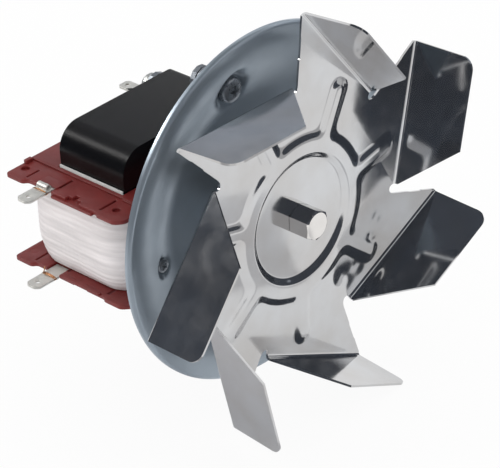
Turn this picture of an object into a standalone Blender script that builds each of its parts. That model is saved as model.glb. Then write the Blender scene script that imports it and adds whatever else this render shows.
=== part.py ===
"""Hot air fan: shaded-pole motor with a dished mounting plate and a folded seven-blade wheel.

Frame: the fan axis is the Y axis, the wheel faces -Y and the motor lies towards +Y, Z is up.
The origin is on the fan axis, in the plane of the plate's front rim face.
Dimensions below are in millimetres and are turned into metres where the meshes are made.
"""
import math

import bmesh
import bpy
from mathutils import Matrix, Vector
from mathutils.geometry import delaunay_2d_cdt

MM = 0.001
GAP = 0.3

# Wheel: one folded sheet
BLADES = 7
WHEEL_RADIUS = 75.0
WHEEL_SHEET = 0.8
WHEEL_MID_Y = -16.0
FIRST_TIP_ANGLE = 85.2
FOLD_END_RADIUS = 50.45
FOLD_TURN = 44.2
TRAILING_CORNER_RADIUS = 49.6
TRAILING_CORNER_TURN = 3.0
FLAP_HEIGHT = 24.2
FLAP_LEAN = 4.0
FLAP_FREE_EDGE = 33.5
FLAP_CORNER = 4.6
BEND_RADIUS = 1.1
HUB_DISC_RADIUS = 22.2
HUB_WALL = 1.4
RING_OUTER_RADIUS = 28.1
RAISE = 1.25
RAISE_SLOPE = 3.6
RIB_TURN = -23.0
RIB_HALF_WIDTH = 1.3
RIB_END_RADIUS = 45.2
RELIEF_DEPTH = 2.2
RELIEF_TURN = 1.3

# Shaft and cap nut
SHAFT_RADIUS = 4.0
THREAD_RADIUS = 3.0
COLLAR_RADIUS = 6.5
COLLAR_LENGTH = 4.0
NUT_FLATS = 10.0
NUT_HEIGHT = 7.4
NUT_END_WALL = 2.0
NUT_CHAMFER = 0.2

# Mounting plate: one dished sheet
PLATE_SHEET = 1.0
PLATE_LAND_INNER = 63.3
PLATE_LAND_OUTER = 65.0
PLATE_RADIUS = 66.3
PLATE_DEPTH = 6.6
PLATE_FLAT_RADIUS = 38.0
PLATE_HOLE_RADIUS = 7.2
PLATE_EDGE_DEPTH = 3.2
RIM_STEPS = 60
FIXING_CIRCLE = 46.0
TOP_FIXING_ANGLE = 99.7
SEAT_HOLE = 2.8
SEAT_RADIUS = 5.0
SEAT_FADE = 3.4
SMALL_FIXING_CIRCLE = 44.5
SMALL_FIXING_ANGLE = 187.3
SMALL_SEAT_HOLE = 1.8
SMALL_SEAT_RADIUS = 3.2
SMALL_SEAT_FADE = 1.2

# Plate screws
HEAD_RADIUS = 4.6
HEAD_HEIGHT = 3.0
SCREW_RADIUS = 2.5
SCREW_REACH = 8.0
CROSS_REACH = 2.0
SMALL_HEAD_RADIUS = 2.5
SMALL_HEAD_HEIGHT = 1.2
SMALL_SCREW_RADIUS = 1.5
SMALL_CROSS_REACH = 1.3

# Laminated core
STACK_FRONT_Y = 19.9
STACK_LENGTH = 30.4
CORE_HALF_HEIGHT = 32.2
CORE_CORNER = 9.0
LEG_LEFT = -45.7
LEG_WIDTH = 16.0
ARM_UNDERSIDE = 18.3
POLE_LEFT = -18.0
POLE_RIGHT = 18.5
ARM_TOP_END = 8.5
CHAMFER = 10.0
BORE_RADIUS = 12.5
AIR_GAP = 0.4
POLE_STEP_Z = 6.0
POLE_STEP = 2.9
ROTOR_BARS = 10
BAR_CIRCLE = 10.2
BAR_RADIUS = 0.75
BAR_CLEARANCE = 0.35
CAGE_RADIUS = 11.6
CAGE_INNER = 6.5
CAGE_RING = 2.3
BOLT_X = 3.0
BOLT_Z = 27.0
BOLT_RADIUS = 2.0
BOLT_HEAD_RADIUS = 3.9
BOLT_HEAD_HEIGHT = 2.7
BOLT_END = 4.0
BOLT_NUT_FLATS = 7.0
BOLT_NUT_HEIGHT = 3.2
STUB_END = 14.3
SHADE_RADIUS = 14.35
SHADE_FIRST_ANGLE = 30.0
SHADE_LAST_ANGLE = 70.0
SHADE_HALF = 0.7

# Bobbin and winding
FLANGE_REACH_LEFT = 14.3
FLANGE_REACH_RIGHT = 11.2
FLANGE_REACH_FRONT = 11.5
FLANGE_REACH_REAR = 12.3
FLANGE_TOP = 17.9
FLANGE_THICK = 2.2
EAR_CHAMFER = 3.0
FLANGE_CHAMFER = 2.0
NOTCH_Y = 31.4
NOTCH_SIZE = 3.2
EAR_HOLE_RADIUS = 1.5
SLOT_WIDTH = 1.0
REAR_SLOT_Y = 39.4
FRONT_SLOT_Y = 19.4
TUBE_WALL = 1.2
PAPER = 0.4
TAPE = 0.9
COIL_INSET_X = 6.0
COIL_INSET_Y = 5.0
COIL_BULGE = 2.8
COIL_CORNER = 8.4

# Terminals
TAB_WIDTH = 6.3
TAB_SHEET = 0.8
TAB_REACH = 9.3
TAB_MID_Y = 44.8
TAB_TOP = 17.2
TAB_CHAMFER = 1.3
TAB_EYE_RADIUS = 0.85
TAB_EYE_PLACE = 3.4
POCKET_DEPTH = 6.5
CURL_RADIUS = 1.7
CURL_LENGTH = 4.5
WIRE_RADIUS = 0.35
WIRE_TURNS = 2
EARTH_EYELET_RADIUS = 4.2
EARTH_REACH = 12.5
EARTH_BLADE = 10.0
EARTH_TOP = 29.5
EARTH_NECK_TURN = 28.4

# Brackets and bearings
BRACKET_SHEET = 2.0
CORNER_BREAK = 0.6
HUB_PLATE_RADIUS = 18.0
DOME_RADIUS = 16.6
DOME_SIDES = 24
DOME_DEPTH = 3.3
CUP_RADIUS = 9.0
CUP_INNER = 7.6
CUP_END_Y = 8.3
CUP_WALL = 1.6
BEARING_RADIUS = 7.1
BEARING_LENGTH = 4.8
BEARING_END_RADIUS = 5.8
RETAINER_THICK = 0.5
SLEEVE_RADIUS = 6.1
BOLT_EAR_RADIUS = 5.2
STANDOFF_RADIUS = 4.7
STANDOFF_BORE = 2.8
STANDOFF_BORE_DEPTH = 8.6
SPIGOT_RADIUS = 2.7

STACK_MID_Y = STACK_FRONT_Y + STACK_LENGTH / 2
STACK_REAR_Y = STACK_FRONT_Y + STACK_LENGTH
LEG_RIGHT = LEG_LEFT + LEG_WIDTH
FLANGE_LEFT = LEG_LEFT - FLANGE_REACH_LEFT
FLANGE_RIGHT = LEG_RIGHT + FLANGE_REACH_RIGHT
FLANGE_FRONT_Y = STACK_FRONT_Y - FLANGE_REACH_FRONT
FLANGE_REAR_Y = STACK_REAR_Y + FLANGE_REACH_REAR
TAB_TIP = FLANGE_LEFT - TAB_REACH
ROTOR_RADIUS = BORE_RADIUS - AIR_GAP
PLATE_BACK_Y = PLATE_DEPTH + PLATE_SHEET
FIXING_ANGLES = {"top": TOP_FIXING_ANGLE, "right": TOP_FIXING_ANGLE - 90.0, "bottom": TOP_FIXING_ANGLE + 180.0}


def polar(radius, degrees, cx=0.0, cz=0.0):
    """Point at a radius and an angle, counted from +X towards +Z."""
    a = math.radians(degrees)
    return (cx + radius * math.cos(a), cz + radius * math.sin(a))


def circle(radius, count, cx=0.0, cz=0.0, turn=0.0):
    return [polar(radius, turn + 360.0 * i / count, cx, cz) for i in range(count)]


def arc(radius, start, end, count, cx=0.0, cz=0.0):
    return [polar(radius, start + (end - start) * i / count, cx, cz) for i in range(count + 1)]


def rectangle(u0, u1, v0, v1):
    return [(u0, v0), (u1, v0), (u1, v1), (u0, v1)]


def rounded_rectangle(cx, cy, hx, hy, radius, steps):
    """Corner arcs of one radius around a rectangle of half sizes hx and hy."""
    points = []
    for sx, sy, start in ((1, 1, 0), (-1, 1, 90), (-1, -1, 180), (1, -1, 270)):
        points += arc(radius, start, start + 90, steps, cx + sx * (hx - radius), cy + sy * (hy - radius))
    return points


def inside(point, polygon):
    """Crossing-number test of a point against a polygon."""
    x, y = point
    hit = False
    for (x0, y0), (x1, y1) in zip(polygon, polygon[1:] + polygon[:1]):
        if (y0 > y) != (y1 > y) and x < x0 + (y - y0) * (x1 - x0) / (y1 - y0):
            hit = not hit
    return hit


def triangulate(loops, keep):
    """Triangles over all the loops' points, with the loops as edges, where keep(centre) is true."""
    points, edges = [], []
    for loop in loops:
        start = len(points)
        points += [Vector(p[:2]) for p in loop]
        count = len(loop)
        if count > 1:
            edges += [(start + i, start + (i + 1) % count) for i in range(count)]
    verts, _, faces, _, _, _ = delaunay_2d_cdt(points, edges, [], 0, 1e-6)
    kept = []
    for face in faces:
        centre = sum((verts[i] for i in face), Vector((0.0, 0.0))) / len(face)
        if keep((centre.x, centre.y)):
            kept.append(face)
    return verts, kept


def material(name, colour, metallic, roughness):
    found = bpy.data.materials.get(name)
    if found:
        return found
    made = bpy.data.materials.new(name)
    made.use_nodes = True
    made.diffuse_color = (*colour, 1.0)
    shader = made.node_tree.nodes["Principled BSDF"]
    shader.inputs["Base Color"].default_value = (*colour, 1.0)
    shader.inputs["Metallic"].default_value = metallic
    shader.inputs["Roughness"].default_value = roughness
    return made


def place(name, bm, mat, smooth=None):
    """Turn a bmesh in millimetres into a named object in metres, faces pointing out."""
    bmesh.ops.remove_doubles(bm, verts=bm.verts, dist=1e-4)
    bmesh.ops.recalc_face_normals(bm, faces=bm.faces)
    bmesh.ops.scale(bm, verts=bm.verts, vec=(MM, MM, MM))
    mesh = bpy.data.meshes.new(name)
    bm.to_mesh(mesh)
    bm.free()
    mesh.materials.append(mat)
    if smooth is not None:
        mesh.shade_smooth()
        mesh.set_sharp_from_angle(angle=math.radians(smooth))
    made = bpy.data.objects.new(name, mesh)
    bpy.context.scene.collection.objects.link(made)
    return made


def cap(bm, outline, holes, z):
    """Flat face at height z inside an outline and outside its holes."""
    verts, faces = triangulate([outline] + holes,
                               lambda p: inside(p, outline) and not any(inside(p, h) for h in holes))
    made = [bm.verts.new((v.x, v.y, z)) for v in verts]
    for face in faces:
        bm.faces.new([made[i] for i in face])


def walls(bm, loop, low, high):
    """Upright faces around a loop from low to high."""
    count = len(loop)
    bottom = [bm.verts.new((x, y, low)) for x, y in loop]
    top = [bm.verts.new((x, y, high)) for x, y in loop]
    for i in range(count):
        j = (i + 1) % count
        bm.faces.new((bottom[i], bottom[j], top[j], top[i]))


def lay_along_fan_axis(bm):
    """Turn a shape that was stacked along Z so that it is stacked along Y."""
    for v in bm.verts:
        v.co = (v.co.x, v.co.z, v.co.y)


def flat_bmesh(solids, holes, low, high, axis, frame=None):
    """Outlines united in their plane, less the holes, extruded from low to high along the axis."""
    def keep(p):
        return any(inside(p, s) for s in solids) and not any(inside(p, h) for h in holes)
    verts, faces = triangulate(solids + holes, keep)
    bm = bmesh.new()
    if axis == "Y":
        made = [bm.verts.new((v.x, low, v.y)) for v in verts]
        shift = Vector((0, high - low, 0))
    else:
        made = [bm.verts.new((v.x, v.y, low)) for v in verts]
        shift = Vector((0, 0, high - low))
    base = [bm.faces.new([made[i] for i in face]) for face in faces]
    bmesh.ops.delete(bm, geom=[v for v in bm.verts if not v.link_faces], context="VERTS")
    result = bmesh.ops.extrude_face_region(bm, geom=base)
    moved = [g for g in result["geom"] if isinstance(g, bmesh.types.BMVert)]
    bmesh.ops.translate(bm, verts=moved, vec=shift)
    if frame is not None:
        bmesh.ops.transform(bm, matrix=frame, verts=bm.verts)
    return bm


def flat_part(name, solids, holes, low, high, axis, mat, smooth=None, frame=None):
    return place(name, flat_bmesh(solids, holes, low, high, axis, frame), mat, smooth)


def spin_profile(bm, profile, segments, closed):
    """Spin a profile of (radius, y) points a full turn about the Y axis."""
    verts = [bm.verts.new((r, y, 0.0)) for r, y in profile]
    pairs = list(zip(verts, verts[1:]))
    if closed:
        pairs.append((verts[-1], verts[0]))
    edges = [bm.edges.new(pair) for pair in pairs]
    bmesh.ops.spin(bm, geom=verts + edges, cent=(0, 0, 0), axis=(0, 1, 0),
                   angle=math.tau, steps=segments, use_merge=True)


def turned_part(name, profile, segments, mat, cx=0.0, cz=0.0, closed=True, smooth=35.0):
    """A turned piece whose axis is parallel to Y."""
    bm = bmesh.new()
    spin_profile(bm, profile, segments, closed)
    bmesh.ops.translate(bm, verts=bm.verts, vec=(cx, 0, cz))
    return place(name, bm, mat, smooth)


def boolean(target, tool, operation):
    """Apply a Boolean between two objects and drop the tool."""
    step = target.modifiers.new(operation.lower(), "BOOLEAN")
    step.operation = operation
    step.solver = "EXACT"
    step.object = tool
    tool.hide_render = True
    tool.display_type = "WIRE"
    bpy.context.view_layer.objects.active = target
    bpy.ops.object.modifier_apply(modifier=step.name)
    bpy.data.objects.remove(tool, do_unlink=True)
    return target


def solidify(target, thickness):
    """Give a mid-surface its sheet thickness, half to each side."""
    step = target.modifiers.new("sheet", "SOLIDIFY")
    step.thickness = thickness * MM
    step.offset = 0.0
    step.use_even_offset = True
    return target


bright_sheet = material("bright_sheet", (0.72, 0.72, 0.72), 1.0, 0.16)
chrome = material("chrome", (0.78, 0.77, 0.75), 1.0, 0.10)
plate_sheet = material("plate_sheet", (0.34, 0.39, 0.43), 0.9, 0.38)
steel = material("steel", (0.55, 0.56, 0.57), 1.0, 0.32)
zinc_steel = material("zinc_steel", (0.60, 0.60, 0.58), 1.0, 0.35)
black_core = material("black_core", (0.018, 0.018, 0.02), 0.1, 0.42)
rotor_steel = material("rotor_steel", (0.30, 0.30, 0.31), 1.0, 0.45)
cast_aluminium = material("cast_aluminium", (0.62, 0.62, 0.62), 1.0, 0.50)
copper = material("copper", (0.72, 0.36, 0.20), 1.0, 0.32)
red_plastic = material("red_plastic", (0.22, 0.030, 0.028), 0.0, 0.50)
tape = material("tape", (0.74, 0.66, 0.66), 0.0, 0.62)
paper = material("paper", (0.86, 0.85, 0.82), 0.0, 0.80)
tinned = material("tinned", (0.62, 0.61, 0.58), 1.0, 0.38)
bronze = material("bronze", (0.50, 0.36, 0.20), 1.0, 0.55)
nylon = material("nylon", (0.80, 0.78, 0.70), 0.0, 0.50)


def raised_outline(ring_radius, half_width, end_radius):
    """Closed curve around the hub ring and its radial ribs.

    Between ribs it is an arc of ring_radius; each rib has straight sides half_width from
    its centre line and a semicircular end centred at end_radius.
    """
    points = []
    step = 360.0 / BLADES
    reach = math.degrees(math.asin(half_width / ring_radius))
    for i in range(BLADES):
        centre = FIRST_TIP_ANGLE + RIB_TURN + step * i
        ex, ez = polar(end_radius, centre)
        points.append(polar(ring_radius, centre - reach))
        points.append(polar(math.hypot(end_radius * 0.8, half_width),
                            centre - math.degrees(math.atan2(half_width, end_radius * 0.8))))
        points += arc(half_width, centre - 90, centre + 90, 4, ex, ez)
        points.append(polar(math.hypot(end_radius * 0.8, half_width),
                            centre + math.degrees(math.atan2(half_width, end_radius * 0.8))))
        points.append(polar(ring_radius, centre + reach))
        span = step - 2 * reach
        for k in (1, 2, 3):
            points.append(polar(ring_radius, centre + reach + span * k / 4))
    return points


FLAP_FRACTIONS = (0.0, 0.04, 0.15, 0.40, 0.70, 1.0)


def fold_frame(index):
    """Start, direction, length and outward normal of one blade's fold line."""
    tip = FIRST_TIP_ANGLE + 360.0 * index / BLADES
    a = Vector(polar(WHEEL_RADIUS, tip))
    b = Vector(polar(FOLD_END_RADIUS, tip - FOLD_TURN))
    along = (b - a).normalized()
    outward = Vector((-along.y, along.x))
    if outward.dot(a) < 0:
        outward = -outward
    return a, along, (b - a).length, outward


def star_outline():
    """Outline of the flat star: trailing corner, tip, fold line and relief notch of each arm."""
    points = []
    for i in range(BLADES):
        tip = FIRST_TIP_ANGLE + 360.0 * i / BLADES
        a, along, length, outward = fold_frame(i)
        inner = [a + along * (length * k) - outward * BEND_RADIUS for k in FLAP_FRACTIONS]
        corner = polar(TRAILING_CORNER_RADIUS, tip + TRAILING_CORNER_TURN)
        middle = tip - FOLD_TURN - 0.5 * (360.0 / BLADES - FOLD_TURN - TRAILING_CORNER_TURN)
        notch = [polar(FOLD_END_RADIUS - RELIEF_DEPTH * k, middle + turn)
                 for k, turn in ((0.8, -RELIEF_TURN), (1.1, 0.0), (0.8, RELIEF_TURN))]
        notch.reverse()
        arm = [corner] + [(p.x, p.y) for p in inner] + notch
        points.append(arm)
    ordered = []
    for i in range(BLADES):
        ordered += points[-i % BLADES]
    return ordered


def make_impeller():
    star = star_outline()
    hole = circle(THREAD_RADIUS + GAP, 20)
    disc = circle(HUB_DISC_RADIUS, 42)
    inner_crest = circle(HUB_DISC_RADIUS + HUB_WALL, 42)
    crest = raised_outline(RING_OUTER_RADIUS, RIB_HALF_WIDTH, RIB_END_RADIUS)
    foot = raised_outline(RING_OUTER_RADIUS + RAISE_SLOPE, RIB_HALF_WIDTH + RAISE_SLOPE, RIB_END_RADIUS)
    raised = {(round(x, 3), round(z, 3)) for x, z in inner_crest + crest}

    def keep(p):
        return inside(p, star) and not inside(p, hole)
    verts, faces = triangulate([star, hole, disc, inner_crest, crest, foot], keep)
    bm = bmesh.new()
    made = []
    for v in verts:
        lift = RAISE if (round(v.x, 3), round(v.y, 3)) in raised else 0.0
        made.append(bm.verts.new((v.x, WHEEL_MID_Y - lift, v.y)))
    for face in faces:
        bm.faces.new([made[i] for i in face])
    lean = math.radians(90.0 + FLAP_LEAN)
    for i in range(BLADES):
        a, along, length, outward = fold_frame(i)
        rows = []
        for turn in (0.0, lean / 2, lean):
            reach = BEND_RADIUS * (math.sin(turn) - 1.0)
            rise = BEND_RADIUS * (1.0 - math.cos(turn))
            row = []
            for k in FLAP_FRACTIONS:
                p = a + along * (length * k) + outward * reach
                row.append(bm.verts.new((p.x, WHEEL_MID_Y - rise, p.y)))
            rows.append(row)
        top = []
        for k in FLAP_FRACTIONS:
            s = FLAP_FREE_EDGE * k
            drop = 0.0
            if s < FLAP_CORNER:
                drop = FLAP_CORNER - math.sqrt(FLAP_CORNER ** 2 - (FLAP_CORNER - s) ** 2)
            rise = FLAP_HEIGHT - drop
            p = a + along * s + outward * (rise * math.tan(math.radians(FLAP_LEAN)))
            top.append(bm.verts.new((p.x, WHEEL_MID_Y - rise, p.y)))
        rows.append(top)
        for low, high in zip(rows, rows[1:]):
            for k in range(len(FLAP_FRACTIONS) - 1):
                bm.faces.new((low[k], low[k + 1], high[k + 1], high[k]))
    bmesh.ops.delete(bm, geom=[v for v in bm.verts if not v.link_faces], context="VERTS")
    return solidify(place("impeller", bm, bright_sheet, 30.0), WHEEL_SHEET)


def make_cap_nut():
    """Hexagon with two corners up and down, a turned chamfer on its closed end, a blind hole behind."""
    base_y = WHEEL_MID_Y - WHEEL_SHEET / 2 - GAP
    end_y = base_y - NUT_HEIGHT
    flat = NUT_FLATS / 2
    face_radius = flat - NUT_CHAMFER
    hole_radius = THREAD_RADIUS + GAP
    bm = bmesh.new()
    loops = [[], [], [], [], []]
    for i in range(24):
        angle = 15.0 * i
        off = math.radians(min(angle % 60.0, 60.0 - angle % 60.0))
        radius = flat / math.cos(off)
        x, z = polar(radius, angle)
        drop = (radius - face_radius) * 0.55
        loops[0].append(bm.verts.new((x, base_y, z)))
        loops[1].append(bm.verts.new((x, end_y + drop, z)))
        x, z = polar(face_radius, angle)
        loops[2].append(bm.verts.new((x, end_y, z)))
        x, z = polar(hole_radius, angle)
        loops[3].append(bm.verts.new((x, base_y, z)))
        loops[4].append(bm.verts.new((x, end_y + NUT_END_WALL, z)))
    for first, second in ((0, 1), (1, 2), (0, 3), (3, 4)):
        for i in range(24):
            j = (i + 1) % 24
            bm.faces.new((loops[first][i], loops[first][j], loops[second][j], loops[second][i]))
    bm.faces.new(loops[2])
    bm.faces.new(loops[4])
    return place("cap_nut", bm, chrome, 20.0)


def make_shaft():
    shoulder = WHEEL_MID_Y + WHEEL_SHEET / 2 + GAP
    thread_end = WHEEL_MID_Y - WHEEL_SHEET / 2 - GAP - NUT_HEIGHT + NUT_END_WALL + GAP
    rear = 2 * STACK_MID_Y - CUP_END_Y - GAP
    profile = [(0.0, thread_end), (THREAD_RADIUS - 0.4, thread_end), (THREAD_RADIUS, thread_end + 0.4),
               (THREAD_RADIUS, shoulder), (COLLAR_RADIUS, shoulder), (COLLAR_RADIUS, shoulder + COLLAR_LENGTH),
               (SHAFT_RADIUS, shoulder + COLLAR_LENGTH), (SHAFT_RADIUS, rear - GAP),
               (SHAFT_RADIUS - GAP, rear), (0.0, rear)]
    return turned_part("shaft", profile, 24, steel, closed=False)


def make_rotor():
    bars = [polar(BAR_CIRCLE, 360.0 * i / ROTOR_BARS) for i in range(ROTOR_BARS)]
    holes = [circle(BAR_RADIUS + BAR_CLEARANCE, 8, x, z) for x, z in bars]
    core = flat_part("rotor_core", [circle(ROTOR_RADIUS, 48)], [circle(SHAFT_RADIUS + GAP, 24)] + holes,
                     STACK_FRONT_Y, STACK_REAR_Y, "Y", rotor_steel, 30.0)
    outer, inner = circle(CAGE_RADIUS, 32), circle(CAGE_INNER, 16)
    rods = [circle(BAR_RADIUS, 8, x, z) for x, z in bars]
    bm = bmesh.new()
    front = STACK_FRONT_Y - GAP
    rear = STACK_REAR_Y + GAP
    for near, far in ((front, front - CAGE_RING), (rear, rear + CAGE_RING)):
        cap(bm, outer, [inner] + rods, near)
        cap(bm, outer, [inner], far)
        walls(bm, outer, near, far)
        walls(bm, inner, near, far)
    for rod in rods:
        walls(bm, rod, front, rear)
    lay_along_fan_axis(bm)
    cage = place("rotor_cage", bm, cast_aluminium, 30.0)
    return core, cage


def mirrored(profile):
    """The same turned profile at the other end of the lamination stack."""
    return [(r, 2 * STACK_MID_Y - y) for r, y in profile]


def make_bearings():
    made = []
    bore = SHAFT_RADIUS + GAP
    low = CUP_END_Y + CUP_WALL + GAP
    high = low + BEARING_LENGTH
    shoulder = BEARING_LENGTH / 4
    mid_radius = (BEARING_RADIUS + BEARING_END_RADIUS) / 2 + GAP
    bearing = [(bore, low), (BEARING_END_RADIUS, low), (mid_radius, low + shoulder),
               (BEARING_RADIUS, (low + high) / 2), (mid_radius, high - shoulder), (BEARING_END_RADIUS, high),
               (bore, high)]
    seat = high + GAP
    retainer = [(SLEEVE_RADIUS + GAP, seat), (CUP_INNER - GAP, seat), (CUP_INNER - GAP, seat + RETAINER_THICK),
                (SLEEVE_RADIUS + GAP, seat + RETAINER_THICK)]
    end = STACK_FRONT_Y - GAP
    sleeve = [(bore, seat), (SLEEVE_RADIUS, seat), (SLEEVE_RADIUS, end), (bore, end)]
    for end, change in (("front", list), ("rear", mirrored)):
        turned_part(end + "_bearing", change(bearing), 16, bronze)
        turned_part(end + "_bearing_retainer", change(retainer), 16, steel)
        made.append(turned_part(end + "_thrust_sleeve", change(sleeve), 16, nylon))
    return made


def dome_profile():
    """Section of the bearing seat: a shallow pan around a deeper cup, open at the bracket's sheet."""
    flange_y = STACK_FRONT_Y - GAP - BRACKET_SHEET
    pan_y = flange_y - DOME_DEPTH + CUP_WALL
    pan_front = pan_y - CUP_WALL
    eye = SHAFT_RADIUS + 2 * CORNER_BREAK
    return [(DOME_RADIUS, flange_y), (DOME_RADIUS - CORNER_BREAK / 2, pan_front + CORNER_BREAK),
            (DOME_RADIUS - 2 * CORNER_BREAK, pan_front), (CUP_RADIUS + CORNER_BREAK, pan_front),
            (CUP_RADIUS, pan_front - CORNER_BREAK), (CUP_RADIUS, CUP_END_Y + CORNER_BREAK),
            (CUP_RADIUS - CORNER_BREAK, CUP_END_Y), (eye, CUP_END_Y), (eye, CUP_END_Y + CUP_WALL),
            (CUP_INNER, CUP_END_Y + CUP_WALL), (CUP_INNER, pan_y), (DOME_RADIUS - 2.5 * CORNER_BREAK, pan_y),
            (DOME_RADIUS, flange_y + BRACKET_SHEET)]


def strip_shape(end, radius, steps=6):
    """Outline of a bracket arm: a strip from just outside the bearing seat to a round end."""
    x1, z1 = end
    heading = math.degrees(math.atan2(z1, x1))
    start = polar(DOME_RADIUS + GAP, heading)
    return (arc(radius, heading - 90, heading + 90, steps, x1, z1)
            + [polar(radius, heading + 90, *start), polar(radius, heading - 90, *start)])


def make_bracket(name, arms, holes, low, profile):
    """Sheet with arms and holes, whose middle is drawn into the bearing seat."""
    solids = [circle(HUB_PLATE_RADIUS, 32)] + arms
    bm = flat_bmesh(solids, [circle(DOME_RADIUS, DOME_SIDES)] + holes, low, low + BRACKET_SHEET, "Y")
    rim = {v for v in bm.verts if abs(math.hypot(v.co.x, v.co.z) - DOME_RADIUS) < GAP / 10}
    inner = [f for f in bm.faces if rim.issuperset(f.verts)]
    bmesh.ops.delete(bm, geom=inner, context="FACES")
    spin_profile(bm, profile, DOME_SIDES, False)
    place(name, bm, zinc_steel, 35.0)


def make_brackets():
    fixings = [polar(FIXING_CIRCLE, a) for a in FIXING_ANGLES.values()]
    bolts = [(BOLT_X, BOLT_Z), (BOLT_X, -BOLT_Z)]
    bolt_arms = [strip_shape(p, BOLT_EAR_RADIUS) for p in bolts]
    bolt_holes = [circle(BOLT_RADIUS + GAP, 12, x, z) for x, z in bolts]
    arms = [strip_shape(p, STANDOFF_RADIUS) for p in fixings] + bolt_arms
    holes = [circle(SPIGOT_RADIUS + GAP, 12, x, z) for x, z in fixings] + bolt_holes
    make_bracket("front_bracket", arms, holes, STACK_FRONT_Y - GAP - BRACKET_SHEET, dome_profile())
    make_bracket("rear_bracket", bolt_arms, bolt_holes, STACK_REAR_Y + GAP, mirrored(dome_profile()))


def make_core():
    """The C of the laminations with its pole section, and the straight bar that carries the coil."""
    half = [(LEG_LEFT, STUB_END)]
    half += [polar(CORE_CORNER, 180 - 90 * i / 6, LEG_LEFT + CORE_CORNER, CORE_HALF_HEIGHT - CORE_CORNER)
             for i in range(7)]
    half += [(ARM_TOP_END, CORE_HALF_HEIGHT), (POLE_RIGHT, CORE_HALF_HEIGHT - CHAMFER),
             (POLE_RIGHT, POLE_STEP_Z), (POLE_RIGHT - POLE_STEP, POLE_STEP_Z - POLE_STEP / 2)]
    inner = [(POLE_LEFT, ARM_UNDERSIDE), (LEG_RIGHT, ARM_UNDERSIDE), (LEG_RIGHT, STUB_END)]
    outline = half + [(x, -z) for x, z in reversed(half)]
    outline += [(x, -z) for x, z in reversed(inner)] + inner
    holes = [circle(BORE_RADIUS, 48)]
    holes += [circle(BOLT_RADIUS + GAP, 12, BOLT_X, s * BOLT_Z) for s in (1, -1)]
    for turn in (0.0, 180.0):
        for angle in (SHADE_FIRST_ANGLE, SHADE_LAST_ANGLE):
            holes.append(circle(SHADE_HALF * math.sqrt(2) + GAP, 12, *polar(SHADE_RADIUS, angle + turn)))
    flat_part("stator_core", [outline], holes, STACK_FRONT_Y, STACK_REAR_Y, "Y", black_core, 30.0)
    bar = rectangle(LEG_LEFT, LEG_RIGHT, -(STUB_END - GAP), STUB_END - GAP)
    flat_part("coil_leg_bar", [bar], [], STACK_FRONT_Y, STACK_REAR_Y, "Y", black_core)
    low = STACK_FRONT_Y + PAPER / 2
    strip = rectangle(LEG_LEFT - GAP - PAPER, LEG_LEFT - GAP, low, 2 * STACK_MID_Y - low)
    top = FLANGE_TOP + 2 * PAPER
    flat_part("leg_insulation", [strip], [], -top, top, "Z", paper)


def make_shading_rings():
    """Each ring is a closed copper loop through two holes, bent flat against both stack faces."""
    for name, turn in (("shading_ring_upper", 0.0), ("shading_ring_lower", 180.0)):
        first = Vector(polar(SHADE_RADIUS, SHADE_FIRST_ANGLE + turn))
        second = Vector(polar(SHADE_RADIUS, SHADE_LAST_ANGLE + turn))
        span = (second - first).length
        heading = math.atan2(second.y - first.y, second.x - first.x)
        low = STACK_FRONT_Y - GAP
        high = STACK_REAR_Y + GAP
        outer = rectangle(-SHADE_HALF, span + SHADE_HALF, low - 2 * SHADE_HALF, high + 2 * SHADE_HALF)
        hollow = rectangle(SHADE_HALF, span - SHADE_HALF, low, high)
        frame = Matrix.Translation((first.x, 0, first.y)) @ Matrix.Rotation(-heading, 4, "Y")
        flat_part(name, [outer], [hollow], -SHADE_HALF, SHADE_HALF, "Z", copper, frame=frame)


def flange_outline():
    """Left edge with a terminal pocket and a small notch, eared corners, plain right side."""
    pocket = TAB_WIDTH / 2 + GAP
    ear = EAR_CHAMFER
    corner = FLANGE_CHAMFER
    half_notch = NOTCH_SIZE / 2
    return [(FLANGE_LEFT, FLANGE_FRONT_Y + ear), (FLANGE_LEFT + ear, FLANGE_FRONT_Y),
            (FLANGE_RIGHT - corner, FLANGE_FRONT_Y), (FLANGE_RIGHT, FLANGE_FRONT_Y + corner),
            (FLANGE_RIGHT, FLANGE_REAR_Y - corner), (FLANGE_RIGHT - corner, FLANGE_REAR_Y),
            (FLANGE_LEFT + ear, FLANGE_REAR_Y), (FLANGE_LEFT, FLANGE_REAR_Y - ear),
            (FLANGE_LEFT, TAB_MID_Y + pocket), (FLANGE_LEFT + POCKET_DEPTH, TAB_MID_Y + pocket),
            (FLANGE_LEFT + POCKET_DEPTH, TAB_MID_Y - pocket), (FLANGE_LEFT, TAB_MID_Y - pocket),
            (FLANGE_LEFT, NOTCH_Y + half_notch), (FLANGE_LEFT + NOTCH_SIZE, NOTCH_Y + half_notch),
            (FLANGE_LEFT + NOTCH_SIZE, NOTCH_Y - half_notch), (FLANGE_LEFT, NOTCH_Y - half_notch)]


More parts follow.
